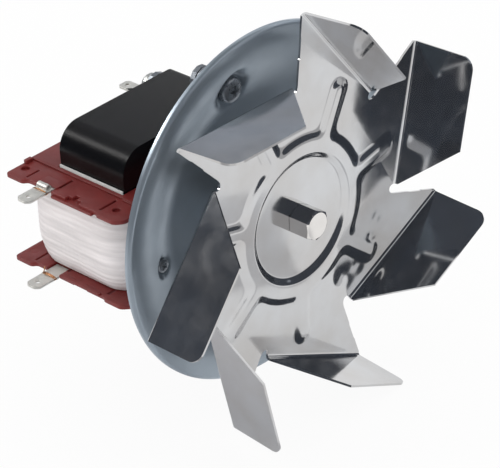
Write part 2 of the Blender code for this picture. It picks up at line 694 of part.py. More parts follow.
def make_bobbin():
    window = rectangle(LEG_LEFT - 2 * GAP - PAPER, LEG_RIGHT + GAP, STACK_FRONT_Y - GAP, STACK_REAR_Y + GAP)
    tube = rectangle(LEG_LEFT - 2 * GAP - PAPER - TUBE_WALL, LEG_RIGHT + GAP + TUBE_WALL,
                     STACK_FRONT_Y - GAP - TUBE_WALL, STACK_REAR_Y + GAP + TUBE_WALL)
    outline = flange_outline()
    left = FLANGE_LEFT
    hole = EAR_HOLE_RADIUS
    wide = SLOT_WIDTH
    openings = [circle(hole, 12, left + 4.2 * hole, FLANGE_REAR_Y - 2.1 * hole),
                circle(hole, 12, left + 4.0 * hole, FLANGE_FRONT_Y + 4.6 * hole),
                rectangle(left + 5.0 * wide, left + 11.0 * wide, REAR_SLOT_Y, REAR_SLOT_Y + wide),
                rectangle(left + 2.6 * wide, left + 10.0 * wide, FRONT_SLOT_Y, FRONT_SLOT_Y + wide)]
    inner = FLANGE_TOP - FLANGE_THICK
    bm = bmesh.new()
    for side in (1, -1):
        cap(bm, outline, [window] + openings, side * FLANGE_TOP)
        cap(bm, outline, [tube] + openings, side * inner)
        walls(bm, outline, side * inner, side * FLANGE_TOP)
        for hole in openings:
            walls(bm, hole, side * inner, side * FLANGE_TOP)
    walls(bm, tube, -inner, inner)
    walls(bm, window, -FLANGE_TOP, FLANGE_TOP)
    return place("bobbin", bm, red_plastic)


def loops_shell(name, outer, inner, mat, smooth):
    """Closed band between matching outer and inner loops, each loop a list of points with a height."""
    bm = bmesh.new()
    rings = [[bm.verts.new(p) for p in loop] for loop in outer + inner[::-1]]
    count = len(rings[0])
    for low, high in zip(rings, rings[1:] + rings[:1]):
        for i in range(count):
            j = (i + 1) % count
            bm.faces.new((low[i], low[j], high[j], high[i]))
    return place(name, bm, mat, smooth)


def make_winding():
    """Copper turns in the bobbin and the wrapped tape around them, bulging at mid height."""
    cx = (FLANGE_LEFT + FLANGE_RIGHT) / 2
    cy = STACK_MID_Y
    top = FLANGE_TOP - FLANGE_THICK - GAP
    tube_hx = (LEG_WIDTH + 3 * GAP + PAPER) / 2 + TUBE_WALL + GAP
    tube_cx = (LEG_LEFT - 2 * GAP - PAPER + LEG_RIGHT + GAP) / 2
    tube_hy = STACK_LENGTH / 2 + GAP + TUBE_WALL + GAP

    def ring(hx, hy, radius, z, centre=cx):
        return [(x, y, z) for x, y in rounded_rectangle(centre, cy, hx, hy, radius, 5)]
    half_x = cx - FLANGE_LEFT - COIL_INSET_X
    half_y = cy - FLANGE_FRONT_Y - COIL_INSET_Y
    levels = [-1.0, -0.85, -0.5, 0.0, 0.5, 0.85, 1.0]

    def layer(out):
        loops = []
        for v in levels:
            reach = COIL_BULGE * (1.0 - abs(v) ** 3) + out
            loops.append(ring(half_x + reach, half_y + reach, COIL_CORNER + out, v * top))
        return loops
    core = [ring(tube_hx, tube_hy, 3 * GAP, v * top, tube_cx) for v in levels]
    loops_shell("coil_winding", layer(0.0), core, copper, 40.0)
    loops_shell("coil_tape", layer(GAP + TAPE), layer(GAP), tape, 40.0)


def tube_path(name, path, radius, sides, mat):
    """Round wire along a path of points: a poly curve with a bevel and filled ends."""
    curve = bpy.data.curves.new(name, "CURVE")
    curve.dimensions = "3D"
    curve.bevel_depth = radius * MM
    curve.bevel_resolution = sides
    curve.use_fill_caps = True
    spline = curve.splines.new("POLY")
    spline.points.add(len(path) - 1)
    for point, (x, y, z) in zip(spline.points, path):
        point.co = (x * MM, y * MM, z * MM, 1.0)
    curve.materials.append(mat)
    made = bpy.data.objects.new(name, curve)
    bpy.context.scene.collection.objects.link(made)
    return made


def make_terminals():
    """Flat tabs in the flange pockets, each with a rolled crimp and a wire wound round its root."""
    low = TAB_MID_Y - TAB_WIDTH / 2
    high = TAB_MID_Y + TAB_WIDTH / 2
    root = FLANGE_LEFT + POCKET_DEPTH - GAP
    chamfer = TAB_CHAMFER
    blade = [(TAB_TIP + chamfer, low), (root, low), (root, high), (TAB_TIP + chamfer, high),
             (TAB_TIP, high - chamfer), (TAB_TIP, low + chamfer)]
    eye = circle(TAB_EYE_RADIUS, 12, TAB_TIP + TAB_EYE_PLACE, TAB_MID_Y)
    curl_mid = FLANGE_LEFT + POCKET_DEPTH / 3
    curl_low = TAB_MID_Y - CURL_LENGTH * 0.36
    for name, side in (("upper", 1), ("lower", -1)):
        faces = sorted((side * TAB_TOP, side * (TAB_TOP - TAB_SHEET)))
        tab = flat_part("terminal_" + name, [blade], [eye], faces[0], faces[1], "Z", tinned)
        curl = arc(CURL_RADIUS, 0, 180, 8, curl_mid, 0.0)
        curl += arc(CURL_RADIUS - TAB_SHEET, 180, 0, 8, curl_mid, 0.0)
        rise = Matrix.Translation((0, 0, side * (TAB_TOP - TAB_SHEET / 2)))
        if side < 0:
            rise = rise @ Matrix.Diagonal((1, 1, -1, 1))
        tool = flat_part("tool", [curl], [], curl_low, curl_low + CURL_LENGTH, "Y", tinned, frame=rise)
        boolean(tab, tool, "UNION")
        clear = GAP + WIRE_RADIUS + 0.3 * WIRE_RADIUS
        reach_y = TAB_WIDTH / 2 + clear
        reach_z = TAB_SHEET / 2 + clear
        centre_z = side * (TAB_TOP - TAB_SHEET / 2)
        start_x = FLANGE_LEFT - 7.4 * WIRE_RADIUS
        path = []
        for k in range(12 * WIRE_TURNS + 1):
            turn = math.radians(180.0 + 30.0 * k)
            path.append((start_x + 0.21 * WIRE_RADIUS * k, TAB_MID_Y + reach_y * math.cos(turn),
                         centre_z + side * reach_z * math.sin(turn)))
        x, y, z = path[-1]
        path.append((x + 0.3 * WIRE_RADIUS, y - 1.4 * WIRE_RADIUS, z - side * 3.4 * WIRE_RADIUS))
        path.append((x + 0.4 * WIRE_RADIUS, y - 2.6 * WIRE_RADIUS, z - side * 7.4 * WIRE_RADIUS))
        tube_path("lead_wire_" + name, path, WIRE_RADIUS, 0, copper)


def make_earth_tab():
    """Eyelet under the upper rear screw head, with a blade bent to the rear."""
    low = STACK_REAR_Y + GAP + BRACKET_SHEET + GAP
    high = low + TAB_SHEET
    left = BOLT_X - EARTH_REACH
    ring = EARTH_EYELET_RADIUS
    join = math.degrees(math.asin((EARTH_TOP - BOLT_Z) / ring))
    outline = [(left, EARTH_TOP - GAP), (left, BOLT_Z - ring * math.sin(math.radians(EARTH_NECK_TURN)))]
    outline += arc(ring, 180.0 + EARTH_NECK_TURN, 540.0 - join, 14, BOLT_X, BOLT_Z)
    eyelet = flat_part("earth_tab", [outline], [circle(BOLT_RADIUS + GAP, 12, BOLT_X, BOLT_Z)], low, high, "Y",
                       tinned)
    end = low + EARTH_BLADE
    chamfer = TAB_CHAMFER
    right = left + TAB_WIDTH
    root = low + GAP / 3
    blade = [(left, root), (right, root), (right, end - chamfer), (right - chamfer, end),
             (left + chamfer, end), (left, end - chamfer)]
    eye = circle(TAB_EYE_RADIUS, 12, (left + right) / 2, end - TAB_EYE_PLACE)
    boolean(eyelet, flat_part("tool", [blade], [eye], EARTH_TOP - TAB_SHEET, EARTH_TOP, "Z", tinned), "UNION")


def cross_recess(head_y, depth, reach, width, cx, cz):
    """Two crossed slots sunk from the front of a screw head."""
    shapes = [rectangle(cx - reach, cx + reach, cz - width, cz + width),
              rectangle(cx - width, cx + width, cz - reach, cz + reach)]
    return flat_part("tool", shapes, [], head_y - 1.0, head_y + depth, "Y", steel)


def make_plate_screws():
    seat = PLATE_DEPTH - GAP
    high = HEAD_HEIGHT
    wide = HEAD_RADIUS
    end = PLATE_BACK_Y + SCREW_REACH
    for place_name, angle in FIXING_ANGLES.items():
        x, z = polar(FIXING_CIRCLE, angle)
        profile = [(0.0, seat - high), (0.48 * wide, seat - 0.97 * high), (0.8 * wide, seat - 0.73 * high),
                   (wide, seat - 0.3 * high), (wide, seat), (SCREW_RADIUS, seat), (SCREW_RADIUS, end),
                   (0.0, end)]
        screw = turned_part("plate_screw_" + place_name, profile, 20, steel, x, z, closed=False)
        tool = cross_recess(seat - high, high / 2, CROSS_REACH, 0.22 * CROSS_REACH, x, z)
        boolean(screw, tool, "DIFFERENCE")
    x, z = polar(SMALL_FIXING_CIRCLE, SMALL_FIXING_ANGLE)
    high = SMALL_HEAD_HEIGHT
    wide = SMALL_HEAD_RADIUS
    end = PLATE_BACK_Y + high
    profile = [(0.0, seat - high), (0.64 * wide, seat - 0.92 * high), (wide, seat - 0.42 * high), (wide, seat),
               (SMALL_SCREW_RADIUS, seat), (SMALL_SCREW_RADIUS, end), (0.0, end)]
    screw = turned_part("plate_screw_left", profile, 16, steel, x, z, closed=False)
    tool = cross_recess(seat - high, 0.6 * high, SMALL_CROSS_REACH, 0.25 * SMALL_CROSS_REACH, x, z)
    boolean(screw, tool, "DIFFERENCE")


def make_standoffs():
    low = PLATE_BACK_Y + GAP
    shoulder = STACK_FRONT_Y - GAP - BRACKET_SHEET - GAP
    end = STACK_FRONT_Y + 2 * GAP
    depth = low + STANDOFF_BORE_DEPTH
    for place_name, angle in FIXING_ANGLES.items():
        x, z = polar(FIXING_CIRCLE, angle)
        profile = [(STANDOFF_BORE, low), (STANDOFF_RADIUS - GAP, low), (STANDOFF_RADIUS, low + GAP),
                   (STANDOFF_RADIUS, shoulder), (SPIGOT_RADIUS, shoulder), (SPIGOT_RADIUS, end),
                   (0.0, end), (0.0, depth), (STANDOFF_BORE, depth)]
        turned_part("standoff_" + place_name, profile, 18, steel, x, z)


def make_through_bolts():
    low_seat = STACK_REAR_Y + BRACKET_SHEET + 2 * GAP
    front = STACK_FRONT_Y - GAP - BRACKET_SHEET - GAP
    end = front - BOLT_END
    wide = BOLT_HEAD_RADIUS
    high = BOLT_HEAD_HEIGHT
    for name, side, seat in (("upper", 1, low_seat + TAB_SHEET + GAP), ("lower", -1, low_seat)):
        z = side * BOLT_Z
        profile = [(0.0, end), (BOLT_RADIUS - GAP, end), (BOLT_RADIUS, end + GAP), (BOLT_RADIUS, seat),
                   (wide, seat), (wide, seat + 0.52 * high), (0.77 * wide, seat + 0.89 * high),
                   (0.0, seat + high)]
        bolt = turned_part("through_screw_" + name, profile, 16, zinc_steel, BOLT_X, z, closed=False)
        slot = rectangle(BOLT_X - wide / 2, BOLT_X + wide / 2, z - 0.1 * wide, z + 0.1 * wide)
        tool = flat_part("tool", [slot], [], seat + 0.6 * high, seat + 1.5 * high, "Y", steel)
        boolean(bolt, tool, "DIFFERENCE")
        hexagon = circle(BOLT_NUT_FLATS / 2 / math.cos(math.pi / 6), 6, BOLT_X, z, 30.0)
        flat_part("through_nut_" + name, [hexagon], [circle(BOLT_RADIUS + GAP, 12, BOLT_X, z)],
                  front - BOLT_NUT_HEIGHT, front, "Y", zinc_steel)


def plate_level(radius):
    """Mid-surface depth of the dish: flat floor, smooth rise to the land at the rim."""
    mid = PLATE_SHEET / 2
    t = (PLATE_LAND_INNER - radius) / (PLATE_LAND_INNER - PLATE_FLAT_RADIUS)
    t = max(0.0, min(1.0, t))
    return mid + PLATE_DEPTH * t * t * (3.0 - 2.0 * t)


def make_plate():
    floor = PLATE_DEPTH + PLATE_SHEET / 2
    dimples = []
    for angle in FIXING_ANGLES.values():
        dimples.append((*polar(FIXING_CIRCLE, angle), SEAT_HOLE, SEAT_RADIUS, SEAT_RADIUS + SEAT_FADE))
    dimples.append((*polar(SMALL_FIXING_CIRCLE, SMALL_FIXING_ANGLE), SMALL_SEAT_HOLE, SMALL_SEAT_RADIUS,
                    SMALL_SEAT_RADIUS + SMALL_SEAT_FADE))
    loops, levels = [], {}

    def add(loop, level):
        loops.append(loop)
        for x, z in loop:
            levels[(round(x, 3), round(z, 3))] = level if level is not None else plate_level(math.hypot(x, z))
    add(circle(PLATE_HOLE_RADIUS, 24), None)
    add(circle(PLATE_LAND_OUTER, RIM_STEPS), None)
    add(circle(PLATE_LAND_INNER, RIM_STEPS), None)
    holes = []
    for x, z, hole, flat, outer in dimples:
        count = 16 if flat == SEAT_RADIUS else 12
        holes.append(circle(hole, count, x, z))
        add(holes[-1], floor)
        add(circle(flat, count, x, z), floor)
        add(circle(outer, count, x, z), None)
    points = []
    slope = PLATE_LAND_INNER - PLATE_FLAT_RADIUS
    for share, count in ((0.0, 26), (0.25, 34), (0.44, 42), (0.61, 50), (0.77, 56), (0.91, 60)):
        radius = PLATE_FLAT_RADIUS + share * slope
        for p in circle(radius, count, turn=3.0):
            if all(math.hypot(p[0] - x, p[1] - z) > outer + 1.2 for x, z, _, _, outer in dimples):
                points.append(p)
                levels[(round(p[0], 3), round(p[1], 3))] = plate_level(radius)
    for p in points:
        loops.append([p])
    rim = circle(PLATE_LAND_OUTER, RIM_STEPS)
    centre_hole = circle(PLATE_HOLE_RADIUS, 24)

    def keep(p):
        return inside(p, rim) and not inside(p, centre_hole) and not any(inside(p, h) for h in holes)
    verts, faces = triangulate(loops, keep)
    bm = bmesh.new()
    made = []
    for v in verts:
        level = levels.get((round(v.x, 3), round(v.y, 3)), plate_level(math.hypot(v.x, v.y)))
        made.append(bm.verts.new((v.x, level, v.y)))
    for face in faces:
        bm.faces.new([made[i] for i in face])
    mid = PLATE_SHEET / 2
    edge = [(PLATE_LAND_OUTER, mid), (PLATE_RADIUS - 1.5 * mid, 1.6 * mid), (PLATE_RADIUS - mid, 3 * mid),
            (PLATE_RADIUS - mid, PLATE_EDGE_DEPTH)]
    rows = []
    for radius, y in edge:
        rows.append([bm.verts.new((x, y, z)) for x, z in circle(radius, RIM_STEPS)])
    for low, high in zip(rows, rows[1:]):
        for i in range(RIM_STEPS):
            j = (i + 1) % RIM_STEPS
            bm.faces.new((low[i], low[j], high[j], high[i]))
    bmesh.ops.delete(bm, geom=[v for v in bm.verts if not v.link_faces], context="VERTS")
    return solidify(place("mounting_plate", bm, plate_sheet, 40.0), PLATE_SHEET)


def main():
    for old in list(bpy.data.objects):
        bpy.data.objects.remove(old, do_unlink=True)
    axis = bpy.data.objects.new("rotor_axis", None)
    bpy.context.scene.collection.objects.link(axis)
    turning = [make_impeller(), make_cap_nut(), make_shaft(), *make_rotor(), *make_bearings()]
    for piece in turning:
        piece.parent = axis
    make_plate()
    make_plate_screws()
    make_standoffs()
    make_brackets()
    make_core()
    make_shading_rings()
    make_bobbin()
    make_winding()
    make_terminals()
    make_earth_tab()
    make_through_bolts()


main()
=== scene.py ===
# %% [markdown]
# # A hot air fan, dressed for its portrait
# The frame is a packed motor with a folded seven-blade wheel: every solid is already in its real place,
# in metres, with the fan axis along Y, the wheel facing -Y and Z up. This notebook puts finer surfaces
# over those solids, gives every surface a worked-out material, and lights and frames the whole.
# Lengths are written in millimetres, because that is how sheet metal is drawn, and become metres
# once, where a mesh is made.

# %% Load the frame
import math

import bmesh
import bpy
import numpy as np
from mathutils import Euler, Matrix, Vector
from mathutils.geometry import delaunay_2d_cdt


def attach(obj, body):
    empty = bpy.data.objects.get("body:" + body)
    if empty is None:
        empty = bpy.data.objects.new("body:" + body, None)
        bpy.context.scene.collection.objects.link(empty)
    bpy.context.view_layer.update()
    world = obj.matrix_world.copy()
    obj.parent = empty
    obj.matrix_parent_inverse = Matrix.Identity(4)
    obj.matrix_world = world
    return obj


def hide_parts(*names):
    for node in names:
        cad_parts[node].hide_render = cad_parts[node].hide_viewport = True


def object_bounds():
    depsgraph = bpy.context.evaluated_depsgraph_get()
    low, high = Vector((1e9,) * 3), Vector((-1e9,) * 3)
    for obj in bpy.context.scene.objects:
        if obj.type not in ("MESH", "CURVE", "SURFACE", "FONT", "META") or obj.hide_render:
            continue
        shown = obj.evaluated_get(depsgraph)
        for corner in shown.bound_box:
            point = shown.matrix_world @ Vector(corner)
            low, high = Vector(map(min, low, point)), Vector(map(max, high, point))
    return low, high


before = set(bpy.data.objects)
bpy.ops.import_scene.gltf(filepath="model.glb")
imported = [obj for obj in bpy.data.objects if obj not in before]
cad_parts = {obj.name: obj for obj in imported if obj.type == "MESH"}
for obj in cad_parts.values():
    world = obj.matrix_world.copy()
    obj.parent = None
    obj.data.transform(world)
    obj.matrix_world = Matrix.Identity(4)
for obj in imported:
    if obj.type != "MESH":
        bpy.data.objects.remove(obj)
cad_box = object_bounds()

MM = 0.001
print("CAD box, mm:", [[round(v * 1000, 1) for v in corner] for corner in cad_box])

# %% [markdown]
# ## Surfaces from numbers
# Most of this object is sheet, turned stock and moulding, so most of it is a surface over two
# parameters: around and outwards, or along and across. A table of points, rows by columns, holds such
# a surface, and neighbouring entries of the table make its faces. A turned part is the simplest case:
# its profile is one column of the table, carried round the axis.

# %% Grids, smooth steps and turned parts
def grid(points, wrap_rows=False, wrap_cols=False):
    """Faces between neighbours of a table of points: (r, c), (r, c+1), (r+1, c+1), (r+1, c)."""
    rows, cols = points.shape[:2]
    index = np.arange(rows * cols).reshape(rows, cols)
    if wrap_cols:
        index = np.hstack([index, index[:, :1]])
    if wrap_rows:
        index = np.vstack([index, index[:1]])
    quads = np.stack([index[:-1, :-1], index[:-1, 1:], index[1:, 1:], index[1:, :-1]], axis=-1)
    return points.reshape(-1, 3), quads.reshape(-1, 4).tolist()


def smooth(x):
    """0 below 0, 1 above 1, and 3x^2 - 2x^3 between."""
    x = np.clip(x, 0.0, 1.0)
    return x * x * (3.0 - 2.0 * x)


def polar(radius, degrees, cx=0.0, cz=0.0):
    """x = cx + radius cos(angle), z = cz + radius sin(angle), for numbers or whole arrays."""
    a = np.radians(degrees)
    return np.stack(np.broadcast_arrays(cx + radius * np.cos(a), cz + radius * np.sin(a)), axis=-1)


def raised(xz, y):
    """(x, y, z) points from (x, z) points and their y, which is given for each point or for each row."""
    y = np.asarray(y, float)
    if y.ndim < xz.ndim - 1:
        y = y[:, None]
    return np.stack([xz[..., 0], np.broadcast_to(y, xz.shape[:-1]), xz[..., 1]], axis=-1)


def revolve(profile, count=96, cx=0.0, cz=0.0):
    """A profile of (radius, y) points carried round an axis parallel to Y."""
    radius, y = np.asarray(profile, float).T
    return grid(raised(polar(radius[:, None], np.arange(count) * 360.0 / count, cx, cz), y), wrap_cols=True)


print("a table of 3 x 4 points has", len(grid(np.zeros((3, 4, 3)))[1]), "faces")

# %% [markdown]
# ## Outlines
# Stamped and moulded parts begin as an outline. It is easiest to draw by its corners alone, so a
# helper turns every corner into a short curve.

# %% Outlines
def circle(radius, count, cx=0.0, cz=0.0):
    """Points at equal angles round a centre."""
    return polar(radius, np.arange(count) * 360.0 / count, cx, cz)


def oblong(x0, y0, x1, y1):
    """The four corners of a rectangle, counter-clockwise."""
    return np.array([(x0, y0), (x1, y0), (x1, y1), (x0, y1)])


def soften(corners, radius, steps=4, closed=True):
    """Every corner becomes a parabola that leaves one side and meets the next a radius away from it:
    (1-t)^2 a + 2t(1-t) corner + t^2 b."""
    p = np.asarray(corners, float)
    before, after = np.roll(p, 1, 0) - p, np.roll(p, -1, 0) - p
    long_b = np.maximum(np.linalg.norm(before, axis=1), 1e-9)
    long_a = np.maximum(np.linalg.norm(after, axis=1), 1e-9)
    reach = np.broadcast_to(np.asarray(radius, float), len(p)).copy()
    if not closed:
        reach[0] = reach[-1] = 0.0
    a = p + before * (np.minimum(reach, 0.48 * long_b) / long_b)[:, None]
    b = p + after * (np.minimum(reach, 0.48 * long_a) / long_a)[:, None]
    t = np.linspace(0.0, 1.0, steps + 1)[None, :, None]
    curve = (1 - t) ** 2 * a[:, None] + 2 * t * (1 - t) * p[:, None] + t ** 2 * b[:, None]
    curve = curve.reshape(-1, 2)
    keep = np.linalg.norm(curve - np.roll(curve, 1, 0), axis=1) > 1e-6
    return curve[keep] if closed else np.vstack([curve[:1], curve[1:][keep[1:]]])


print("a softened oblong has", len(soften(oblong(0.0, 0.0, 4.0, 2.0), 0.5)), "points")

# %% [markdown]
# A broken edge moves a whole loop inwards, and to fill a plate one has to know which points lie inside
# a loop and which inside its holes.

# %% Loops moved and tested
def inset(loop, distance):
    """A loop moved inwards: every point goes along the mean of its two side normals."""
    p = np.asarray(loop, float)
    side = np.roll(p, -1, 0) - p
    side /= np.maximum(np.linalg.norm(side, axis=1), 1e-9)[:, None]
    area = 0.5 * np.sum(p[:, 0] * np.roll(p[:, 1], -1) - np.roll(p[:, 0], -1) * p[:, 1])
    normal = np.stack([-side[:, 1], side[:, 0]], axis=1) * np.sign(area)
    mean = normal + np.roll(normal, 1, 0)
    mean /= np.maximum(0.5 * np.sum(mean * mean, axis=1), 0.4)[:, None]
    return p + mean * distance


def within(p, loop):
    """Crossing-number test: a point is inside when a ray from it crosses the loop an odd number of times."""
    a, b = np.asarray(loop), np.roll(loop, -1, 0)
    cut = (a[:, 1] > p[1]) != (b[:, 1] > p[1])
    rise = np.where(cut, b[:, 1] - a[:, 1], 1.0)
    x = a[:, 0] + (p[1] - a[:, 1]) * (b[:, 0] - a[:, 0]) / rise
    return bool(np.count_nonzero(cut & (p[0] < x)) % 2)


print("a circle of 4 mm, moved in by 1 mm:", round(float(np.hypot(*inset(circle(4.0, 24), 1.0)[0])), 2), "mm")

# %% [markdown]
# ## Plates with holes
# A plate is two lids and the walls between them. The lids are filled with triangles between the
# outline and the holes; the walls are grids whose first and last rows curl in, so that every edge is
# broken as a stamping or a moulding has it.

# %% Plates with holes
def lid(outline, holes, height):
    """Triangles that fill an outline, less its holes, at one height."""
    loops = [outline] + list(holes)
    start = np.cumsum([0] + [len(loop) for loop in loops])
    edges = [(int(first + i), int(first + (i + 1) % len(loop)))
             for first, loop in zip(start, loops) for i in range(len(loop))]
    points = [Vector(p) for loop in loops for p in loop]
    verts, _, faces, _, _, _ = delaunay_2d_cdt(points, edges, [], 0, 1e-6)
    flat = np.array([v[:] for v in verts])
    middles = [flat[f].mean(0) for f in faces]
    kept = [f for f, m in zip(faces, middles) if within(m, outline) and not any(within(m, h) for h in holes)]
    return np.column_stack([flat, np.full(len(flat), height)]), kept


def plate(outline, holes, low, high, edge=0.0, axis="Z"):
    """A plate between two heights: lids on both sides, and walls whose corners are rounded by `edge`."""
    parts = []
    turn = np.linspace(0.0, np.pi / 2, 4) if edge > 0 else np.array([np.pi / 2])
    heights = np.concatenate([low + edge * (1 - np.cos(turn)), high - edge * (1 - np.cos(turn[::-1]))])
    insets = edge * np.concatenate([1 - np.sin(turn), 1 - np.sin(turn[::-1])])
    for k, loop in enumerate([outline] + list(holes)):
        sign = 1.0 if k == 0 else -1.0
        rows = [np.column_stack([inset(loop, sign * d), np.full(len(loop), h)])
                for d, h in zip(insets, heights)]
        parts.append(grid(np.array(rows), wrap_cols=True))
    ends = [inset(outline, insets[0])] + [inset(h, -insets[0]) for h in holes]
    parts += [lid(ends[0], ends[1:], low), lid(ends[0], ends[1:], high)]
    if axis == "Y":
        parts = [(points[:, [0, 2, 1]], faces) for points, faces in parts]
    return parts


washer = plate(circle(4.0, 24), [circle(2.0, 24)], 0.0, 1.0)
print("a washer has", sum(len(faces) for _, faces in washer), "faces")

# %% [markdown]
# ## From points to a piece
# Every piece ends the same way: its parts are joined, points that coincide are welded, the faces are
# turned outwards, and only then a sheet gets its thickness. Soft shading runs over gentle angles and
# stops at the crisp ones. The piece then rides on its body of the motor, in place of the solids that
# it stands for.

# %% Make a piece
def welded(parts):
    """One bmesh in metres from (points, faces) parts, with its faces pointing out."""
    joined = bmesh.new()
    for points, faces in parts:
        mesh = bpy.data.meshes.new("part")
        mesh.from_pydata((np.asarray(points) * MM).tolist(), [], [list(map(int, f)) for f in faces])
        joined.from_mesh(mesh)
        bpy.data.meshes.remove(mesh)
    bmesh.ops.remove_doubles(joined, verts=joined.verts, dist=2e-7)
    bmesh.ops.delete(joined, geom=[v for v in joined.verts if not v.link_faces], context="VERTS")
    bmesh.ops.recalc_face_normals(joined, faces=joined.faces)
    return joined


def thicken(piece, thickness):
    """A sheet's thickness, half to each side of its mid-surface, applied to the mesh."""
    sheet_step = piece.modifiers.new("sheet", "SOLIDIFY")
    sheet_step.thickness, sheet_step.offset, sheet_step.use_even_offset = thickness * MM, 0.0, True
    bpy.context.view_layer.update()
    shown = piece.evaluated_get(bpy.context.evaluated_depsgraph_get())
    solid = bpy.data.meshes.new_from_object(shown)
    piece.modifiers.clear()
    piece.data = solid
    solid.name = piece.name


def make(name, parts, finish, body, stands_for=(), sharp=35.0, thickness=None):
    """One closed, welded, outward-facing mesh in metres that rides on a body of the frame."""
    joined = welded(parts)
    mesh = bpy.data.meshes.new(name)
    joined.to_mesh(mesh)
    joined.free()
    piece = bpy.data.objects.new(name, mesh)
    bpy.context.scene.collection.objects.link(piece)
    if thickness:
        thicken(piece, thickness)
    piece.data.shade_smooth()
    piece.data.set_sharp_from_angle(angle=math.radians(sharp))
    piece.data.materials.append(finish)
    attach(piece, body)
    if stands_for:
        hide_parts(*stands_for)
    print(f"{name}: {sum(len(p.vertices) - 2 for p in piece.data.polygons)} triangles")
    return piece


print("bodies of the frame: motor and rotor, solids:", len(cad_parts))

# %% [markdown]
# ## Finishes
# No real surface has one flat colour. Each finish here is a small node tree on Object coordinates, so
# that its pattern sits still on the piece. Its source is a noise that can be stretched along the axes,
# which makes turning marks, fibres or the edges of laminations out of clouds.

# %% Noise on a piece
def noise(made, size, stretch, detail):
    """Output of a noise texture on Object coordinates, stretched along the axes."""
    nodes, links = made.node_tree.nodes, made.node_tree.links
    coords = nodes.new("ShaderNodeTexCoord")
    mapping = nodes.new("ShaderNodeMapping")
    mapping.inputs["Scale"].default_value = stretch
    links.new(coords.outputs["Object"], mapping.inputs["Vector"])
    texture = nodes.new("ShaderNodeTexNoise")
    texture.inputs["Scale"].default_value = size
    texture.inputs["Detail"].default_value = detail
    links.new(mapping.outputs["Vector"], texture.inputs["Vector"])
    return texture.outputs["Fac"]


print("noise helper ready")

# %% [markdown]
# One noise moves the colour between a darker, warmer and a lighter, cooler tone, a second one moves the
# roughness, and a third gives the finest relief.

# %% Finish helper
def finish(name, colour, metallic=0.0, roughness=0.5, spread=0.06, scale=(1.0, 1.0, 1.0), size=60.0,
           rough_spread=0.05, bump=0.0, bump_size=400.0, bump_scale=(1.0, 1.0, 1.0), detail=4.0,
           tint=0.0, mirror=0.5):
    """Colour = darker to lighter tone by noise, roughness = its mean plus or minus its spread by a
    second noise, and height = a third noise at the finest size."""
    made = bpy.data.materials.new(name)
    made.use_nodes = True
    nodes, links = made.node_tree.nodes, made.node_tree.links
    shader = nodes["Principled BSDF"]
    ramp = nodes.new("ShaderNodeValToRGB")
    low, high = ramp.color_ramp.elements
    low.position, high.position = 0.3, 0.7
    warm = (1 + tint, 1.0, 1 - tint)
    low.color = (*[max(0.0, c * (1 - spread) * w) for c, w in zip(colour, warm)], 1.0)
    high.color = (*[min(1.0, c * (1 + spread) / w) for c, w in zip(colour, warm)], 1.0)
    links.new(noise(made, size, scale, detail), ramp.inputs["Fac"])
    links.new(ramp.outputs["Color"], shader.inputs["Base Color"])
    span = nodes.new("ShaderNodeMapRange")
    span.inputs["From Min"].default_value = 0.3
    span.inputs["From Max"].default_value = 0.7
    span.inputs["To Min"].default_value = max(0.0, roughness - rough_spread)
    span.inputs["To Max"].default_value = min(1.0, roughness + rough_spread)
    links.new(noise(made, size * 2.3, scale, detail), span.inputs["Value"])
    links.new(span.outputs["Result"], shader.inputs["Roughness"])
    shader.inputs["Metallic"].default_value = metallic
    shader.inputs["Specular IOR Level"].default_value = mirror
    if bump:
        relief = nodes.new("ShaderNodeBump")
        relief.inputs["Strength"].default_value = bump
        relief.inputs["Distance"].default_value = 0.0001
        links.new(noise(made, bump_size, bump_scale, 3.0), relief.inputs["Height"])
        links.new(relief.outputs["Normal"], shader.inputs["Normal"])
    return made


print("finish helper ready")

# %% [markdown]
# ### What each surface is
# The bright wheel is rolled stainless sheet: nearly a mirror, with faint cloudy smudges and the finest
# waviness in its gloss. The plate is steel sheet with a satin blue-grey coat, the posts are turned, and
# the screws are dull zinc. The core is lacquered lamination stock with its texture drawn out across the
# stack, the former is glass-filled moulding in dark red, and the coil is bound with a pale tape whose
# fibres run round it. The rest is what such motors are made of inside.

# %% The finishes
LATHE = (1.0, 6.0, 1.0)
LAMINATED = (0.05, 3.0, 0.05)

wheel_finish = finish("bright_rolled_sheet", (0.62, 0.62, 0.625), 1.0, 0.10, spread=0.09, size=48.0,
                      detail=6.0, tint=0.02, rough_spread=0.04, bump=0.10, bump_size=120.0)
nut_finish = finish("polished_nut", (0.80, 0.78, 0.76), 1.0, 0.06, spread=0.03, size=200.0, rough_spread=0.02)
plate_finish = finish("satin_blue_grey_sheet", (0.42, 0.485, 0.55), 0.72, 0.33, spread=0.05, size=55.0,
                      bump=0.06, bump_size=900.0)
screw_finish = finish("zinc_screw", (0.38, 0.41, 0.45), 0.82, 0.30, spread=0.10, size=500.0,
                      bump=0.1, bump_size=1500.0)
post_finish = finish("turned_post", (0.27, 0.29, 0.32), 1.0, 0.38, spread=0.12, size=260.0,
                     scale=LATHE, bump=0.2, bump_size=1500.0, bump_scale=LATHE)
core_finish = finish("lacquered_laminations", (0.0035, 0.0035, 0.0042), 0.0, 0.25, spread=0.20, size=900.0,
                     scale=LAMINATED, rough_spread=0.015, bump=0.04, bump_size=900.0, bump_scale=LAMINATED,
                     mirror=0.36)
former_finish = finish("dark_red_moulding", (0.20, 0.022, 0.020), 0.0, 0.42, spread=0.10, size=120.0,
                       bump=0.15, bump_size=1800.0)
tape_finish = finish("pale_binding_tape", (0.81, 0.765, 0.765), 0.0, 0.55, spread=0.15, size=130.0,
                     detail=8.0, scale=(0.3, 0.3, 4.0), bump=1.0, bump_size=700.0,
                     bump_scale=(0.25, 0.25, 2.0))
paper_finish = finish("insulating_paper", (0.82, 0.82, 0.80), 0.0, 0.8, spread=0.04, size=400.0,
                      bump=0.3, bump_size=2500.0)
